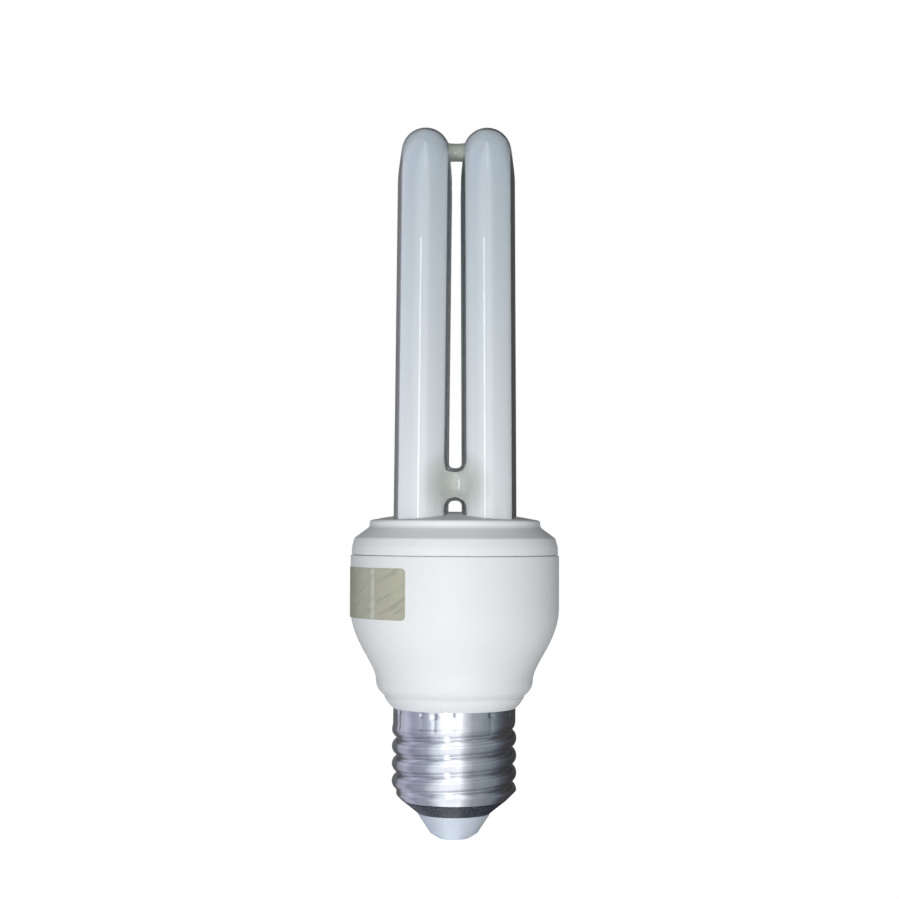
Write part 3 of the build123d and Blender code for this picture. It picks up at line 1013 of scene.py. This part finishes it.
    def spool(self, name: str, half: list[tuple[float, float, float]], centre: Vector) -> Piece:
        """Draw a waisted link along X from ring to ring.

        Args:
            name: Name of the new object.
            half: Place along X, and half widths along Y and Z, of each ring from the middle to one end.
            centre: The link's middle in millimetres.

        Returns:
            The new object, closed at both ends.
        """
        rings = [(-x, y, z) for x, y, z in reversed(half[1:])] + half
        place, wide, tall = rings[0]
        piece = added(name, bpy.ops.mesh.primitive_circle_add, vertices=72, radius=MM,
                      rotation=(0, math.pi / 2, 0),
                      location=((centre.x + place) * MM, centre.y * MM, centre.z * MM))
        bpy.ops.object.transform_apply(location=True, rotation=True)
        edit_all()
        bpy.ops.transform.resize(value=(1, wide, tall), center_override=centre * MM)
        bpy.ops.mesh.edge_face_add()
        for (x, y, z), (next_x, next_y, next_z) in zip(rings, rings[1:]):
            step = ((next_x - x) * MM, 0, 0)
            bpy.ops.mesh.extrude_region_move(TRANSFORM_OT_translate={"value": step})
            bpy.ops.transform.resize(value=(1, next_y / y, next_z / z), center_override=centre * MM)
        closed_up(piece)
        return piece

    def form(self, name: str, inset: float, shorter: float) -> Piece:
        """Both Us and their bridge as one closed face, this far inside the glass's outer face.

        Args:
            name: Name of the new object.
            inset: How far inside.
            shorter: How much less its feet reach down.

        Returns:
            The new object.
        """
        left = self.bent(name, inset, shorter)
        right = copied(left, name + "_right")
        self.stood(left, Side.LEFT)
        self.stood(right, Side.RIGHT)
        half = [(x, y - inset, z - inset) for x, y, z in self.bridge_rings]
        centre = Vector((0, -self.bend_radius, self.bridge_height))
        whole = combined(left, self.spool(name + "_bridge", half, centre), "UNION")
        whole = combined(whole, right, "UNION")
        self.blend_bridge(whole, centre)
        return smoothed(whole, 50)

    def blend_bridge(self, piece: Piece, centre: Vector) -> None:
        """Smooth the corner where the bridge runs into the tubes.

        Args:
            piece: The united mesh.
            centre: The bridge's middle in millimetres.
        """
        along, across = self.blend_reach

        def near(place: Vector) -> bool:
            """Whether a place is within the blend's reach."""
            away = place / MM - centre
            return abs(away.x) < along and math.hypot(away.y, away.z) < across

        select_only(piece)
        bpy.ops.object.mode_set(mode="EDIT")
        select_where(piece, near)
        bpy.ops.mesh.remove_doubles(threshold=self.blend_merge * MM)
        bpy.ops.mesh.vertices_smooth(factor=0.5, repeat=self.blend_rounds)
        bpy.ops.object.mode_set(mode="OBJECT")

    def build(self) -> None:
        """Make and place the glass, the coating and the bead."""
        outer = self.form("tube_glass", 0.0, 0.0)
        inner = flipped(self.form("tube_bore", self.wall, self.wall))
        placed(joined([outer, inner]), TUBE_GLASS, "discharge_tube")
        placed(self.form("tube_powder", self.wall + self.coating_gap, self.wall + 1.0), POWDER)
        self.build_bead()

    def build_bead(self) -> None:
        """Make and place the bead between the tops of the bends."""
        height = self.overall_height - self.apex_radius
        bead = self.spool("top_bead", [(x, r, r) for x, r in self.bead_rings], Vector((0, 0, height)))
        for side in Side:
            tube = self.stood(self.bent("bead_cutter", -0.02, 0.0), side)
            combined(bead, tube, "DIFFERENCE")
        placed(smoothed(bead, 40), BEAD, "top_bond")


@dataclass
class Ballast:
    """Moulded housing and tube cover, the cement in the sockets and the sticker."""

    collar_radius: float = 12.9
    collar_top: float = 27.4
    neck_radius: float = 11.7
    neck_bore: float = 10.2
    neck_bottom: float = 20.7
    lip_radius: float = 14.7
    lip_top: float = 29.7
    lip_bow: float = 0.15
    groove_depth: float = 0.2
    groove_rise: float = 0.05
    step_radius: float = 16.55
    step_start: Point = (0.35, 0.6)
    step_bow: float = 0.38
    step_top: float = 33.2
    belly_bottom: float = 48.4
    radius: float = 22.0
    wall: float = 1.6
    seam: float = 59.5
    seam_rounding: float = 0.24
    seam_gap: float = 0.1
    skirt_radius: float = 20.3
    skirt_wall: float = 1.3
    skirt_bottom: float = 54.6
    shoulder_edge: Point = (21.2, 63.05)
    edge_rounding: float = 0.9
    shoulder_top: float = 61.3
    shoulder_rounding: float = 2.0
    cover_radius: float = 21.8
    cover_draft: float = 0.1
    band_bottom: float = 65.4
    underside: float = 65.7
    band_radius: float = 18.0
    band_top: float = 66.75
    band_rounding: float = 0.6
    waist_rounding: float = 1.2
    dome_top: float = 68.6
    dome_reach: float = 17.25
    dome_edge: float = 66.88
    cover_wall: float = 1.5
    socket_play: float = 0.2
    socket_depth: float = 6.4
    socket_wall: float = 1.1
    cement_depth: float = 5.0
    sticker_top: float = 57.0
    sticker_height: float = 10.5
    sticker_angle: float = 84.0
    sticker_middle: float = 201.0
    sticker_corner: float = 0.95
    sticker_thickness: float = 0.08
    board_bottom: float = 53.0
    rib_length: float = 9.0
    rib_reach: float = 2.2
    rib_width: float = 1.4

    def waist(self, inset: float) -> list[Point]:
        """The housing's side from the lip to the belly, this far inside its outer face."""
        lip_radius, step_radius = self.lip_radius - inset, self.step_radius - inset
        radius = self.radius - inset
        lip = bowed((self.collar_radius - inset, self.collar_top), (lip_radius, self.lip_top), self.lip_bow)
        groove = [(lip_radius - self.groove_depth, self.lip_top + self.groove_rise)]
        start = (lip_radius + self.step_start[0], self.lip_top + self.step_start[1])
        step = bowed(start, (step_radius, self.step_top), self.step_bow)
        rise = self.belly_bottom - self.step_top
        curve = eased((step_radius, self.step_top), (step_radius, self.step_top + 0.23 * rise),
                      (radius, self.belly_bottom - 0.46 * rise), (radius, self.belly_bottom))
        return lip + groove + step + curve[1:]

    def build_housing(self) -> None:
        """Turn the housing with its neck, and set the board ribs in it."""
        outside = self.waist(0.0)
        inside = self.waist(self.wall)
        edge = self.seam - self.seam_gap / 2
        top = rounded([outside[-1], (self.radius, edge, self.seam_rounding),
                       (self.radius - self.wall, edge), inside[-1]], 4)
        ledge = self.collar_radius - 0.45
        neck = [(self.neck_bore, inside[0][1] + 0.4), (self.neck_bore, self.neck_bottom),
                (self.neck_radius, self.neck_bottom), (self.neck_radius, self.collar_top - 2.2),
                (ledge, self.collar_top - 2.1), (ledge, self.collar_top)]
        bore = [point for point in reversed(inside) if point[1] > self.collar_top + 0.5]
        outline = outside + top[1:-1] + bore + neck + [outside[0]]
        housing = turned("housing_shell", outline)
        placed(smoothed(self.with_ribs(housing), 32), WHITE_PLASTIC, "ballast_housing")

    def with_ribs(self, housing: Piece) -> Piece:
        """Unite the housing with the four ribs that carry the board."""
        bore = self.radius - self.wall
        for quarter in range(4):
            rib = added("board_rib", bpy.ops.mesh.primitive_cube_add, size=MM)
            edit_all()
            size = (self.rib_reach + self.wall / 2, self.rib_width, self.rib_length)
            bpy.ops.transform.resize(value=size, center_override=(0, 0, 0))
            bpy.ops.mesh.bevel(offset=0.2 * MM, segments=2)
            bpy.ops.object.mode_set(mode="OBJECT")
            place = Matrix.Translation(((bore - self.rib_reach / 2 + self.wall / 4) * MM, 0,
                                        (self.board_bottom - self.rib_length / 2) * MM))
            moved(rib, Matrix.Rotation(quarter * math.pi / 2, 4, "Z") @ place)
            combined(housing, rib, "UNION")
        return housing

    def build_cover(self, tube: DischargeTube) -> None:
        """Turn the cover and cut its four sockets.

        Args:
            tube: The tube that stands in it.
        """
        rise = self.dome_top - self.dome_edge
        dome = bowed((0, self.dome_top), (self.dome_reach, self.dome_edge), -rise / 4, 24)
        skirt_bore = self.skirt_radius - self.skirt_wall
        cover_bottom = self.seam + self.seam_gap / 2
        side = rounded([
            dome[-1],
            (self.band_radius, self.band_top, self.band_rounding),
            (self.band_radius, self.band_bottom, self.waist_rounding),
            (*self.shoulder_edge, self.edge_rounding),
            (self.cover_radius - self.cover_draft, self.shoulder_top, self.shoulder_rounding),
            (self.cover_radius, cover_bottom, self.seam_rounding),
            (self.skirt_radius, cover_bottom),
            (self.skirt_radius, self.skirt_bottom),
            (skirt_bore, self.skirt_bottom),
            (skirt_bore, self.shoulder_top),
            (self.band_radius - self.cover_wall, self.band_bottom),
            (self.band_radius - self.cover_wall, self.underside),
            (0, self.underside),
        ], 8)
        cover = turned("cover_shell", dome + side[1:], 192)
        socket = tube.leg_radius + self.socket_play
        bottom = self.underside - self.socket_depth
        for operation, radius, low, high in (
            ("UNION", socket + 0.25 + self.socket_wall, bottom, self.underside + 0.5),
            ("DIFFERENCE", socket, bottom - 1, self.dome_top + 1),
        ):
            for x, y in self.leg_places(tube):
                post = turned("socket_tool", [(0, low), (radius, low), (radius, high), (0, high)], 72)
                moved(post, Matrix.Translation((x * MM, y * MM, 0)))
                combined(cover, post, operation)
        placed(smoothed(cover, 32), WHITE_PLASTIC, "tube_cover")

    @staticmethod
    def leg_places(tube: DischargeTube) -> list[Point]:
        """X and Y of each of the tube's legs, in millimetres."""
        return [(side.value * tube.leg_spacing / 2, end * tube.bend_radius)
                for side in Side for end in (-1, 1)]

    def build_cement(self, tube: DischargeTube) -> None:
        """Fill each socket round its leg with cement that climbs the glass a little.

        Args:
            tube: The tube whose legs are bedded.
        """
        top = self.band_top - 0.2
        inner, outer = tube.leg_radius - 0.03, tube.leg_radius + self.socket_play + 0.02
        outline = [(inner, top - self.cement_depth), (outer, top - self.cement_depth), (outer, top - 0.12),
                   (outer - 0.08, top - 0.05), (inner + 0.03, top), (inner, top - self.cement_depth)]
        first = turned("socket_cement", outline, 72)
        rings = [first] + [copied(first, f"cement_{number}") for number in range(3)]
        for ring, (x, y) in zip(rings, self.leg_places(tube)):
            moved(ring, Matrix.Translation((x * MM, y * MM, 0)))
        placed(smoothed(joined(rings), 40), CEMENT, "tube_cement")

    def build_sticker(self) -> None:
        """Round a flat film's corners, cut it into strips and wrap it round the belly."""
        width = math.radians(self.sticker_angle) * self.radius
        film = added("side_sticker", bpy.ops.mesh.primitive_plane_add, size=MM)
        edit_all()
        bpy.ops.transform.resize(value=(width, self.sticker_height, 1), center_override=(0, 0, 0))
        bpy.ops.mesh.bevel(offset=self.sticker_corner * MM, segments=8, affect="VERTICES")
        strips = 84
        for strip in range(1, strips):
            bpy.ops.mesh.select_all(action="SELECT")
            place = (strip / strips - 0.5) * width * MM
            bpy.ops.mesh.bisect(plane_co=(place, 0, 0), plane_no=(1, 0, 0))
        bpy.ops.object.mode_set(mode="OBJECT")
        self.wrap(film, width)
        solidify = film.modifiers.new("thickness", "SOLIDIFY")
        solidify.thickness = self.sticker_thickness * MM
        solidify.offset = 1.0
        select_only(film)
        bpy.ops.object.modifier_apply(modifier=solidify.name)
        placed(smoothed(film, 50), FILM, "label_sticker")

    def wrap(self, film: Piece, width: float) -> None:
        """Lay the flat film's own place on it as UV, and bend it round the belly.

        Args:
            film: The flat film, in the XY plane.
            width: Its width in millimetres.
        """
        layer = film.data.uv_layers.active or film.data.uv_layers.new(name="flat")
        for loop in film.data.loops:
            place = film.data.vertices[loop.vertex_index].co / MM
            layer.data[loop.index].uv = (place.x / width + 0.5, place.y / self.sticker_height + 0.5)
        middle_height = self.sticker_top - self.sticker_height / 2
        for vertex in film.data.vertices:
            x, y = vertex.co.x / MM, vertex.co.y / MM
            angle = math.radians(self.sticker_middle) + x / self.radius
            lift = self.radius + 0.01
            vertex.co = Vector((lift * math.cos(angle), lift * math.sin(angle), middle_height + y)) * MM

    def build(self, tube: DischargeTube) -> None:
        """Make and place all that the ballast's outside is made of.

        Args:
            tube: The tube that stands in the cover.
        """
        self.build_housing()
        self.build_cover(tube)
        self.build_cement(tube)
        self.build_sticker()


@dataclass
class ScrewCap:
    """Rolled screw shell, dark glass insulator and centre contact."""

    rim_height: float = 8.1
    rim_radius: float = 11.0
    root_radius: float = 12.15
    crest_radius: float = 13.1
    pitch: float = 3.629
    ridge_width: float = 3.4
    first_crest: float = 10.25
    root_easing: float = 0.10
    first_ridge_turn: float = -0.45
    last_groove_turn: float = 3.5
    fade_turn: float = 0.3
    collar_radius: float = 12.9
    collar_bottom: float = 24.0
    collar_top: float = 27.4
    wall: float = 0.35
    stake_drop: float = 0.35
    stake_depth: float = 0.24
    stake_size: float = 0.55
    flute_depth: float = 0.08
    flute_width: float = 0.4
    cone_rounding: float = 0.12
    stake_angles: tuple[float, ...] = (-62, -31, -18.5, 2, 36, 63, 94, 121, 152, 182, 211, 243, 272)
    insulator_bore: float = 1.6
    insulator_seat: float = 1.0
    contact_height: float = 5.3
    contact_top: float = 7.5
    contact_base: float = 5.0
    contact_turn: float = 1.25
    contact_face: float = 3.0
    contact_wall: float = 0.45
    rings: int = 140
    segments: int = 320

    @property
    def draw(self) -> float:
        """How far the rim's inner face lies in from its outer one, along the radius of its cone."""
        return self.wall * math.sqrt(2)

    @property
    def bore(self) -> float:
        """Radius of the shell's bore."""
        return self.root_radius - self.wall

    @property
    def seat(self) -> float:
        """Height where the rim's cone runs into the bore."""
        return self.rim_height + self.draw + self.bore - self.rim_radius

    def groove(self, height: float, angle: float) -> float:
        """How deep the thread's groove is at a place, as a share.

        Args:
            height: Height in millimetres.
            angle: Angle round the axis, from +X.

        Returns:
            0 on a crest and 1 in a root.
        """
        turns = angle / math.tau
        crest = (height - self.first_crest) / self.pitch - turns
        away = abs(crest - round(crest)) * self.pitch
        depth = self.crest_radius - self.root_radius
        half = self.ridge_width / 2
        arc = (half ** 2 + depth ** 2) / (2 * depth)
        rise = math.sqrt(max(arc ** 2 - away ** 2, 0)) - (arc - depth)
        eased_rise = 0.5 * (rise + math.sqrt(rise ** 2 + self.root_easing ** 2))
        started = smooth_step((round(crest) + turns - self.first_ridge_turn) / self.fade_turn)
        share = 1 - min(started * eased_rise / depth, 1.0)
        number = math.floor(crest) + 0.5
        along = number + turns
        return share * (1 - smooth_step((along - self.last_groove_turn) / self.fade_turn))

    def outer_radius(self, height: float, angle: float) -> float:
        """Radius of the shell's outer face at a place.

        Args:
            height: Height in millimetres.
            angle: Angle round the axis, from +X.

        Returns:
            The radius in millimetres.
        """
        towards_collar = smooth_step((height - self.collar_bottom + 1.2) / 1.6)
        body = self.crest_radius + (self.collar_radius - self.crest_radius) * towards_collar
        radius = body - (self.crest_radius - self.root_radius) * self.groove(height, angle)
        cone = self.rim_radius + 0.04 + height - self.rim_height
        radius = 0.5 * (radius + cone - math.hypot(radius - cone, self.cone_rounding))
        return radius - self.dent(height, angle)

    def dent(self, height: float, angle: float) -> float:
        """Depth of the stake marks near the collar's top at a place, in millimetres."""
        depth = 0.0
        for number, mark in enumerate(self.stake_angles):
            off = (angle - math.radians(270 + mark) + math.pi) % math.tau - math.pi
            across = off * self.collar_radius
            up = height - (self.collar_top - self.stake_drop - 0.25 * (number % 3))
            reach = math.hypot(across, up * 0.8) / self.stake_size
            below = smooth_step((height - self.collar_bottom + 1.5) / 1.5) if up < 0 else 0.0
            flute = self.flute_depth * below * math.exp(-(across / self.flute_width) ** 2)
            depth = max(depth, self.stake_depth * math.exp(-reach ** 2), flute)
        return depth

    def build_shell(self) -> None:
        """Spin the shell's wall, and press the thread and the stake marks into its outer face."""
        step = (self.collar_top - self.rim_height) / self.rings
        outer = [(self.crest_radius + 1, self.rim_height + step * index) for index in range(self.rings + 1)]
        inner = [
            (self.collar_radius - self.wall, self.collar_top),
            (self.collar_radius - self.wall, self.collar_bottom + 0.6),
            (self.bore, self.collar_bottom),
            (self.bore, self.seat),
            (self.rim_radius - self.draw, self.rim_height),
        ]
        shell = turned("rolled_shell", outer + inner + [outer[0]], self.segments)
        for vertex in shell.data.vertices:
            place = vertex.co / MM
            if math.hypot(place.x, place.y) > self.crest_radius + 0.5:
                angle = math.atan2(place.y, place.x) % math.tau
                radius = self.outer_radius(place.z, angle)
                vertex.co = Vector((radius * math.cos(angle), radius * math.sin(angle), place.z)) * MM
        placed(smoothed(shell, 50), NICKEL, "screw_shell")

    def build_insulator(self) -> None:
        """Turn the glass between the shell's rim and the contact."""
        outline = rounded([
            (self.insulator_bore, self.contact_height),
            (self.contact_top, self.contact_height, 0.2),
            (self.rim_radius - 0.05, self.rim_height - 0.05, 0.15),
            (self.rim_radius - self.draw, self.rim_height),
            (self.bore, self.seat),
            (self.bore, self.seat + self.insulator_seat),
            (self.insulator_bore, self.seat + self.insulator_seat),
            (self.insulator_bore, self.contact_height),
        ], 5)
        placed(smoothed(turned("glass_insulator", outline), 32), CAP_GLASS, "cap_insulator")

    def build_contact(self) -> None:
        """Turn the pressed cup at the tip, with its wall."""
        wall = self.contact_wall
        outside = rounded([
            (self.contact_top, self.contact_height),
            (self.contact_top - 0.02, self.contact_height - 0.3, 0.2),
            (self.contact_base, self.contact_turn, 1.3),
            (self.contact_face, 0.0, 1.6),
            (0, 0),
        ], 8)
        inside = rounded([
            (0, wall),
            (self.contact_face - wall / 2, wall, 1.2),
            (self.contact_base - wall / 2, self.contact_turn + wall / 2, 0.9),
            (self.contact_top - wall, self.contact_height),
            (self.contact_top, self.contact_height),
        ], 6)
        placed(smoothed(turned("tip_contact", outside + inside), 40), CONTACT, "centre_contact")

    def build(self) -> None:
        """Make and place the cap's three pieces."""
        self.build_shell()
        self.build_insulator()
        self.build_contact()


# Floor, lights and camera


@dataclass(frozen=True)
class Card:
    """Upright glowing card on a circle round the lamp. Angles are in degrees from +X, heights in metres."""

    name: str
    start: float
    end: float
    bottom: float
    top: float
    glow: float


@dataclass
class Tent:
    """Grey tent and bright cards close round the lamp, which only gloss and glass show."""

    radius: float = 0.13
    height: float = 0.4
    lift: float = 0.0003
    peak: float = 2.0
    card_gap: float = 0.003
    around: tuple[tuple[float, Colour], ...] = (
        (0, (0.14, 0.16, 0.19)), (12, (0.10, 0.10, 0.11)), (34, (0.07, 0.07, 0.07)), (84, (0.08, 0.08, 0.08)),
        (98, (0.18, 0.185, 0.19)), (140, (0.18, 0.18, 0.19)), (154, (0.58, 0.57, 0.68)),
        (174, (0.72, 0.71, 0.86)), (190, (0.46, 0.49, 0.60)), (220, (0.56, 0.60, 0.70)),
        (236, (1.20, 1.28, 1.36)), (250, (1.70, 1.75, 1.80)), (280, (1.80, 1.82, 1.84)),
        (290, (1.00, 1.02, 1.06)), (303, (0.52, 0.55, 0.60)), (325, (0.38, 0.43, 0.47)),
        (345, (0.30, 0.34, 0.38)), (360, (0.14, 0.16, 0.19)))
    upwards: tuple[tuple[float, float], ...] = (
        (0.0, 0.8), (0.004, 1.0), (0.04, 1.0), (0.054, 0.5), (0.066, 0.95), (0.13, 0.95), (0.2, 0.9),
        (0.4, 0.8))
    cards: tuple[Card, ...] = (
        Card("window_card", 253.0, 259.0, 0.0, 0.142, 7.0),
        Card("upper_card", 266.0, 274.0, 0.21, 0.39, 3.0))

    def build(self) -> None:
        """Make the tent and its cards."""
        outline = [(0, self.lift), (self.radius, self.lift), (self.radius, self.height), (0, self.height)]
        tent = turned("grey_tent", [(x / MM, z / MM) for x, z in outline], 96)
        self.show_in_gloss(tent, self.tent_material(), True)
        for card in self.cards:
            self.stand(card)

    def tent_material(self) -> Material:
        """Glow that changes round the tent and up its side.

        Returns:
            The material.
        """
        recipe = Recipe("grey_tent")
        place = recipe.node("ShaderNodeSeparateXYZ", Vector=recipe.place).outputs
        angle = recipe.worked_out("ARCTAN2", place["Y"], place["X"])
        turn = recipe.worked_out("ADD", recipe.worked_out("DIVIDE", angle, math.tau), 1.0)
        colours = [(degrees / 360, tuple(c / self.peak for c in colour)) for degrees, colour in self.around]
        around = recipe.ramp(recipe.worked_out("FRACT", turn), colours)
        rise = recipe.worked_out("DIVIDE", place["Z"], self.height)
        greys = [(height / self.height, (share, share, share)) for height, share in self.upwards]
        return recipe.emission(around, recipe.worked_out("MULTIPLY", recipe.ramp(rise, greys), self.peak))

    def stand(self, card: Card) -> None:
        """Stand one card just inside the tent's side.

        Args:
            card: The card.
        """
        piece = added(card.name, bpy.ops.mesh.primitive_circle_add, vertices=360,
                      radius=self.radius - self.card_gap, location=(0, 0, card.bottom))
        edit_all()
        rise = (0, 0, card.top - card.bottom)
        bpy.ops.mesh.extrude_region_move(TRANSFORM_OT_translate={"value": rise})
        bpy.ops.object.mode_set(mode="OBJECT")
        self.keep_sector(piece, card.start, card.end)
        self.show_in_gloss(piece, Recipe(card.name).emission(WHITE, card.glow), False)

    @staticmethod
    def show_in_gloss(piece: Piece, material: Material, in_glass: bool) -> None:
        """Let only gloss show a piece, and glass too if asked.

        Args:
            piece: The tent or a card.
            material: Its material.
            in_glass: Whether it is seen through glass.
        """
        piece.data.materials.append(material)
        for ray in ("camera", "diffuse", "shadow", "volume_scatter"):
            setattr(piece, "visible_" + ray, False)
        piece.visible_transmission = in_glass

    @staticmethod
    def keep_sector(card: Piece, start: float, end: float) -> None:
        """Delete all of a round card but the part between two angles.

        Args:
            card: The card.
            start: Where it starts, in degrees from +X.
            end: Where it ends.
        """
        mesh = bmesh.new()
        mesh.from_mesh(card.data)
        gone = []
        for face in mesh.faces:
            centre = face.calc_center_median()
            angle = math.degrees(math.atan2(centre.y, centre.x)) % 360
            if not start <= angle <= end:
                gone.append(face)
        bmesh.ops.delete(mesh, geom=gone, context="FACES")
        mesh.to_mesh(card.data)
        mesh.free()


@dataclass
class Studio:
    """Pale floor, white surroundings, a soft frontal light with two weaker ones behind, and the camera."""

    target: tuple[float, float, float] = (0.0, 0.0, 0.075)
    camera_place: tuple[float, float, float] = (0.0, -0.405, 0.066)
    lens: float = 76.6
    tilt: float = 2.23
    swing: float = 0.174
    roll: float = 0.24
    ambient: float = 0.10
    ambient_colour: Colour = (0.93, 0.96, 1.0)
    floor_colour: Colour = (0.84, 0.84, 0.84)
    floor_glow: float = 0.95
    floor_share: float = 0.36
    floor_bounce: float = 0.22
    shadow_reach: float = 0.9

    def build(self) -> None:
        """Make the whole surroundings."""
        self.light_world()
        self.lay_floor()
        self.hang_lights()
        Tent().build()
        self.aim_camera()

    def light_world(self) -> None:
        """White where it is seen, and a weak even light on what isn't a mirror."""
        recipe = Recipe("studio", "ShaderNodeOutputWorld")
        weak = recipe.node("ShaderNodeBackground", Color=self.ambient_colour, Strength=self.ambient)
        white = recipe.node("ShaderNodeBackground", Color=WHITE, Strength=1.0)
        bpy.context.scene.world = recipe.blended(recipe.seen_rays(), weak, white)

    def lay_floor(self) -> None:
        """Lay a pale floor that looks white and still shows the lamp's shadow."""
        floor = added("floor", bpy.ops.mesh.primitive_plane_add, size=14.0, location=(0, 0, -0.0001))
        recipe = Recipe("pale_floor")
        away = recipe.distance(Vector())
        reach = (self.shadow_reach / 3, self.shadow_reach)
        strength = recipe.between(away, self.floor_glow / (1 - self.floor_share), 1.0, *reach)
        seen = recipe.between(away, 1 - self.floor_share, 1.0, *reach)
        share = recipe.between(recipe.seen_rays(), self.floor_bounce, seen, 0.0, 1.0)
        matte = recipe.node("ShaderNodeBsdfDiffuse", Color=self.floor_colour)
        glow = recipe.node("ShaderNodeEmission", Color=WHITE, Strength=strength)
        floor.data.materials.append(recipe.blended(share, matte, glow))

    def hang(self, name: str, place: tuple[float, float, float], size: Point, power: float) -> None:
        """Hang one soft panel that faces the lamp and that nothing shows.

        Args:
            name: Name of the light.
            place: Its place in metres.
            size: Its width and height in metres.
            power: Its power.
        """
        data = bpy.data.lights.new(name, "AREA")
        data.shape = "RECTANGLE"
        data.size, data.size_y = size
        data.energy = power
        light = bpy.data.objects.new(name, data)
        light.location = place
        light.rotation_euler = (Vector(self.target) - Vector(place)).to_track_quat("-Z", "Y").to_euler()
        light.visible_camera = False
        light.visible_glossy = False
        light.visible_transmission = False
        bpy.context.scene.collection.objects.link(light)

    def hang_lights(self) -> None:
        """Hang the low frontal light and two weaker ones behind."""
        self.hang("front_soft", (-0.13, -1.30, 0.105), (0.8, 0.2), 11.2)
        self.hang("back_left", (-0.40, 1.25, 0.14), (0.5, 0.25), 7.0)
        self.hang("back_right", (0.40, 1.25, 0.14), (0.5, 0.25), 7.0)

    def aim_camera(self) -> None:
        """Set the camera at the photograph's viewing angle."""
        data = bpy.data.cameras.new("camera")
        data.lens = self.lens
        data.sensor_width = 36.0
        data.clip_start = 0.01
        camera = bpy.data.objects.new("camera", data)
        bpy.context.scene.collection.objects.link(camera)
        turn = Matrix.Rotation(math.radians(self.swing), 4, "Z")
        turn @= Matrix.Rotation(math.radians(90 + self.tilt), 4, "X")
        turn @= Matrix.Rotation(math.radians(self.roll), 4, "Z")
        camera.location = self.camera_place
        camera.rotation_euler = turn.to_euler()
        bpy.context.scene.camera = camera


def dress_inner_parts(nodes: dict[str, Piece]) -> None:
    """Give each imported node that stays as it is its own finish.

    Args:
        nodes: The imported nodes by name.
    """
    for finish, names in INNER_FINISHES:
        for name in names:
            finish.dress(nodes[name])
            LOG.info("%s keeps its packed mesh and gets %s", name, finish.name)


def main() -> None:
    """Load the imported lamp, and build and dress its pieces."""
    logging.basicConfig(level=logging.INFO, format="%(name)s: %(message)s")
    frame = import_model()
    tube = DischargeTube()
    tube.build()
    Ballast().build(tube)
    ScrewCap().build()
    dress_inner_parts(frame["nodes"])
    Studio().build()
    bpy.context.scene.view_settings.view_transform = "Standard"
    select_none()


if __name__ == "__main__":
    main()
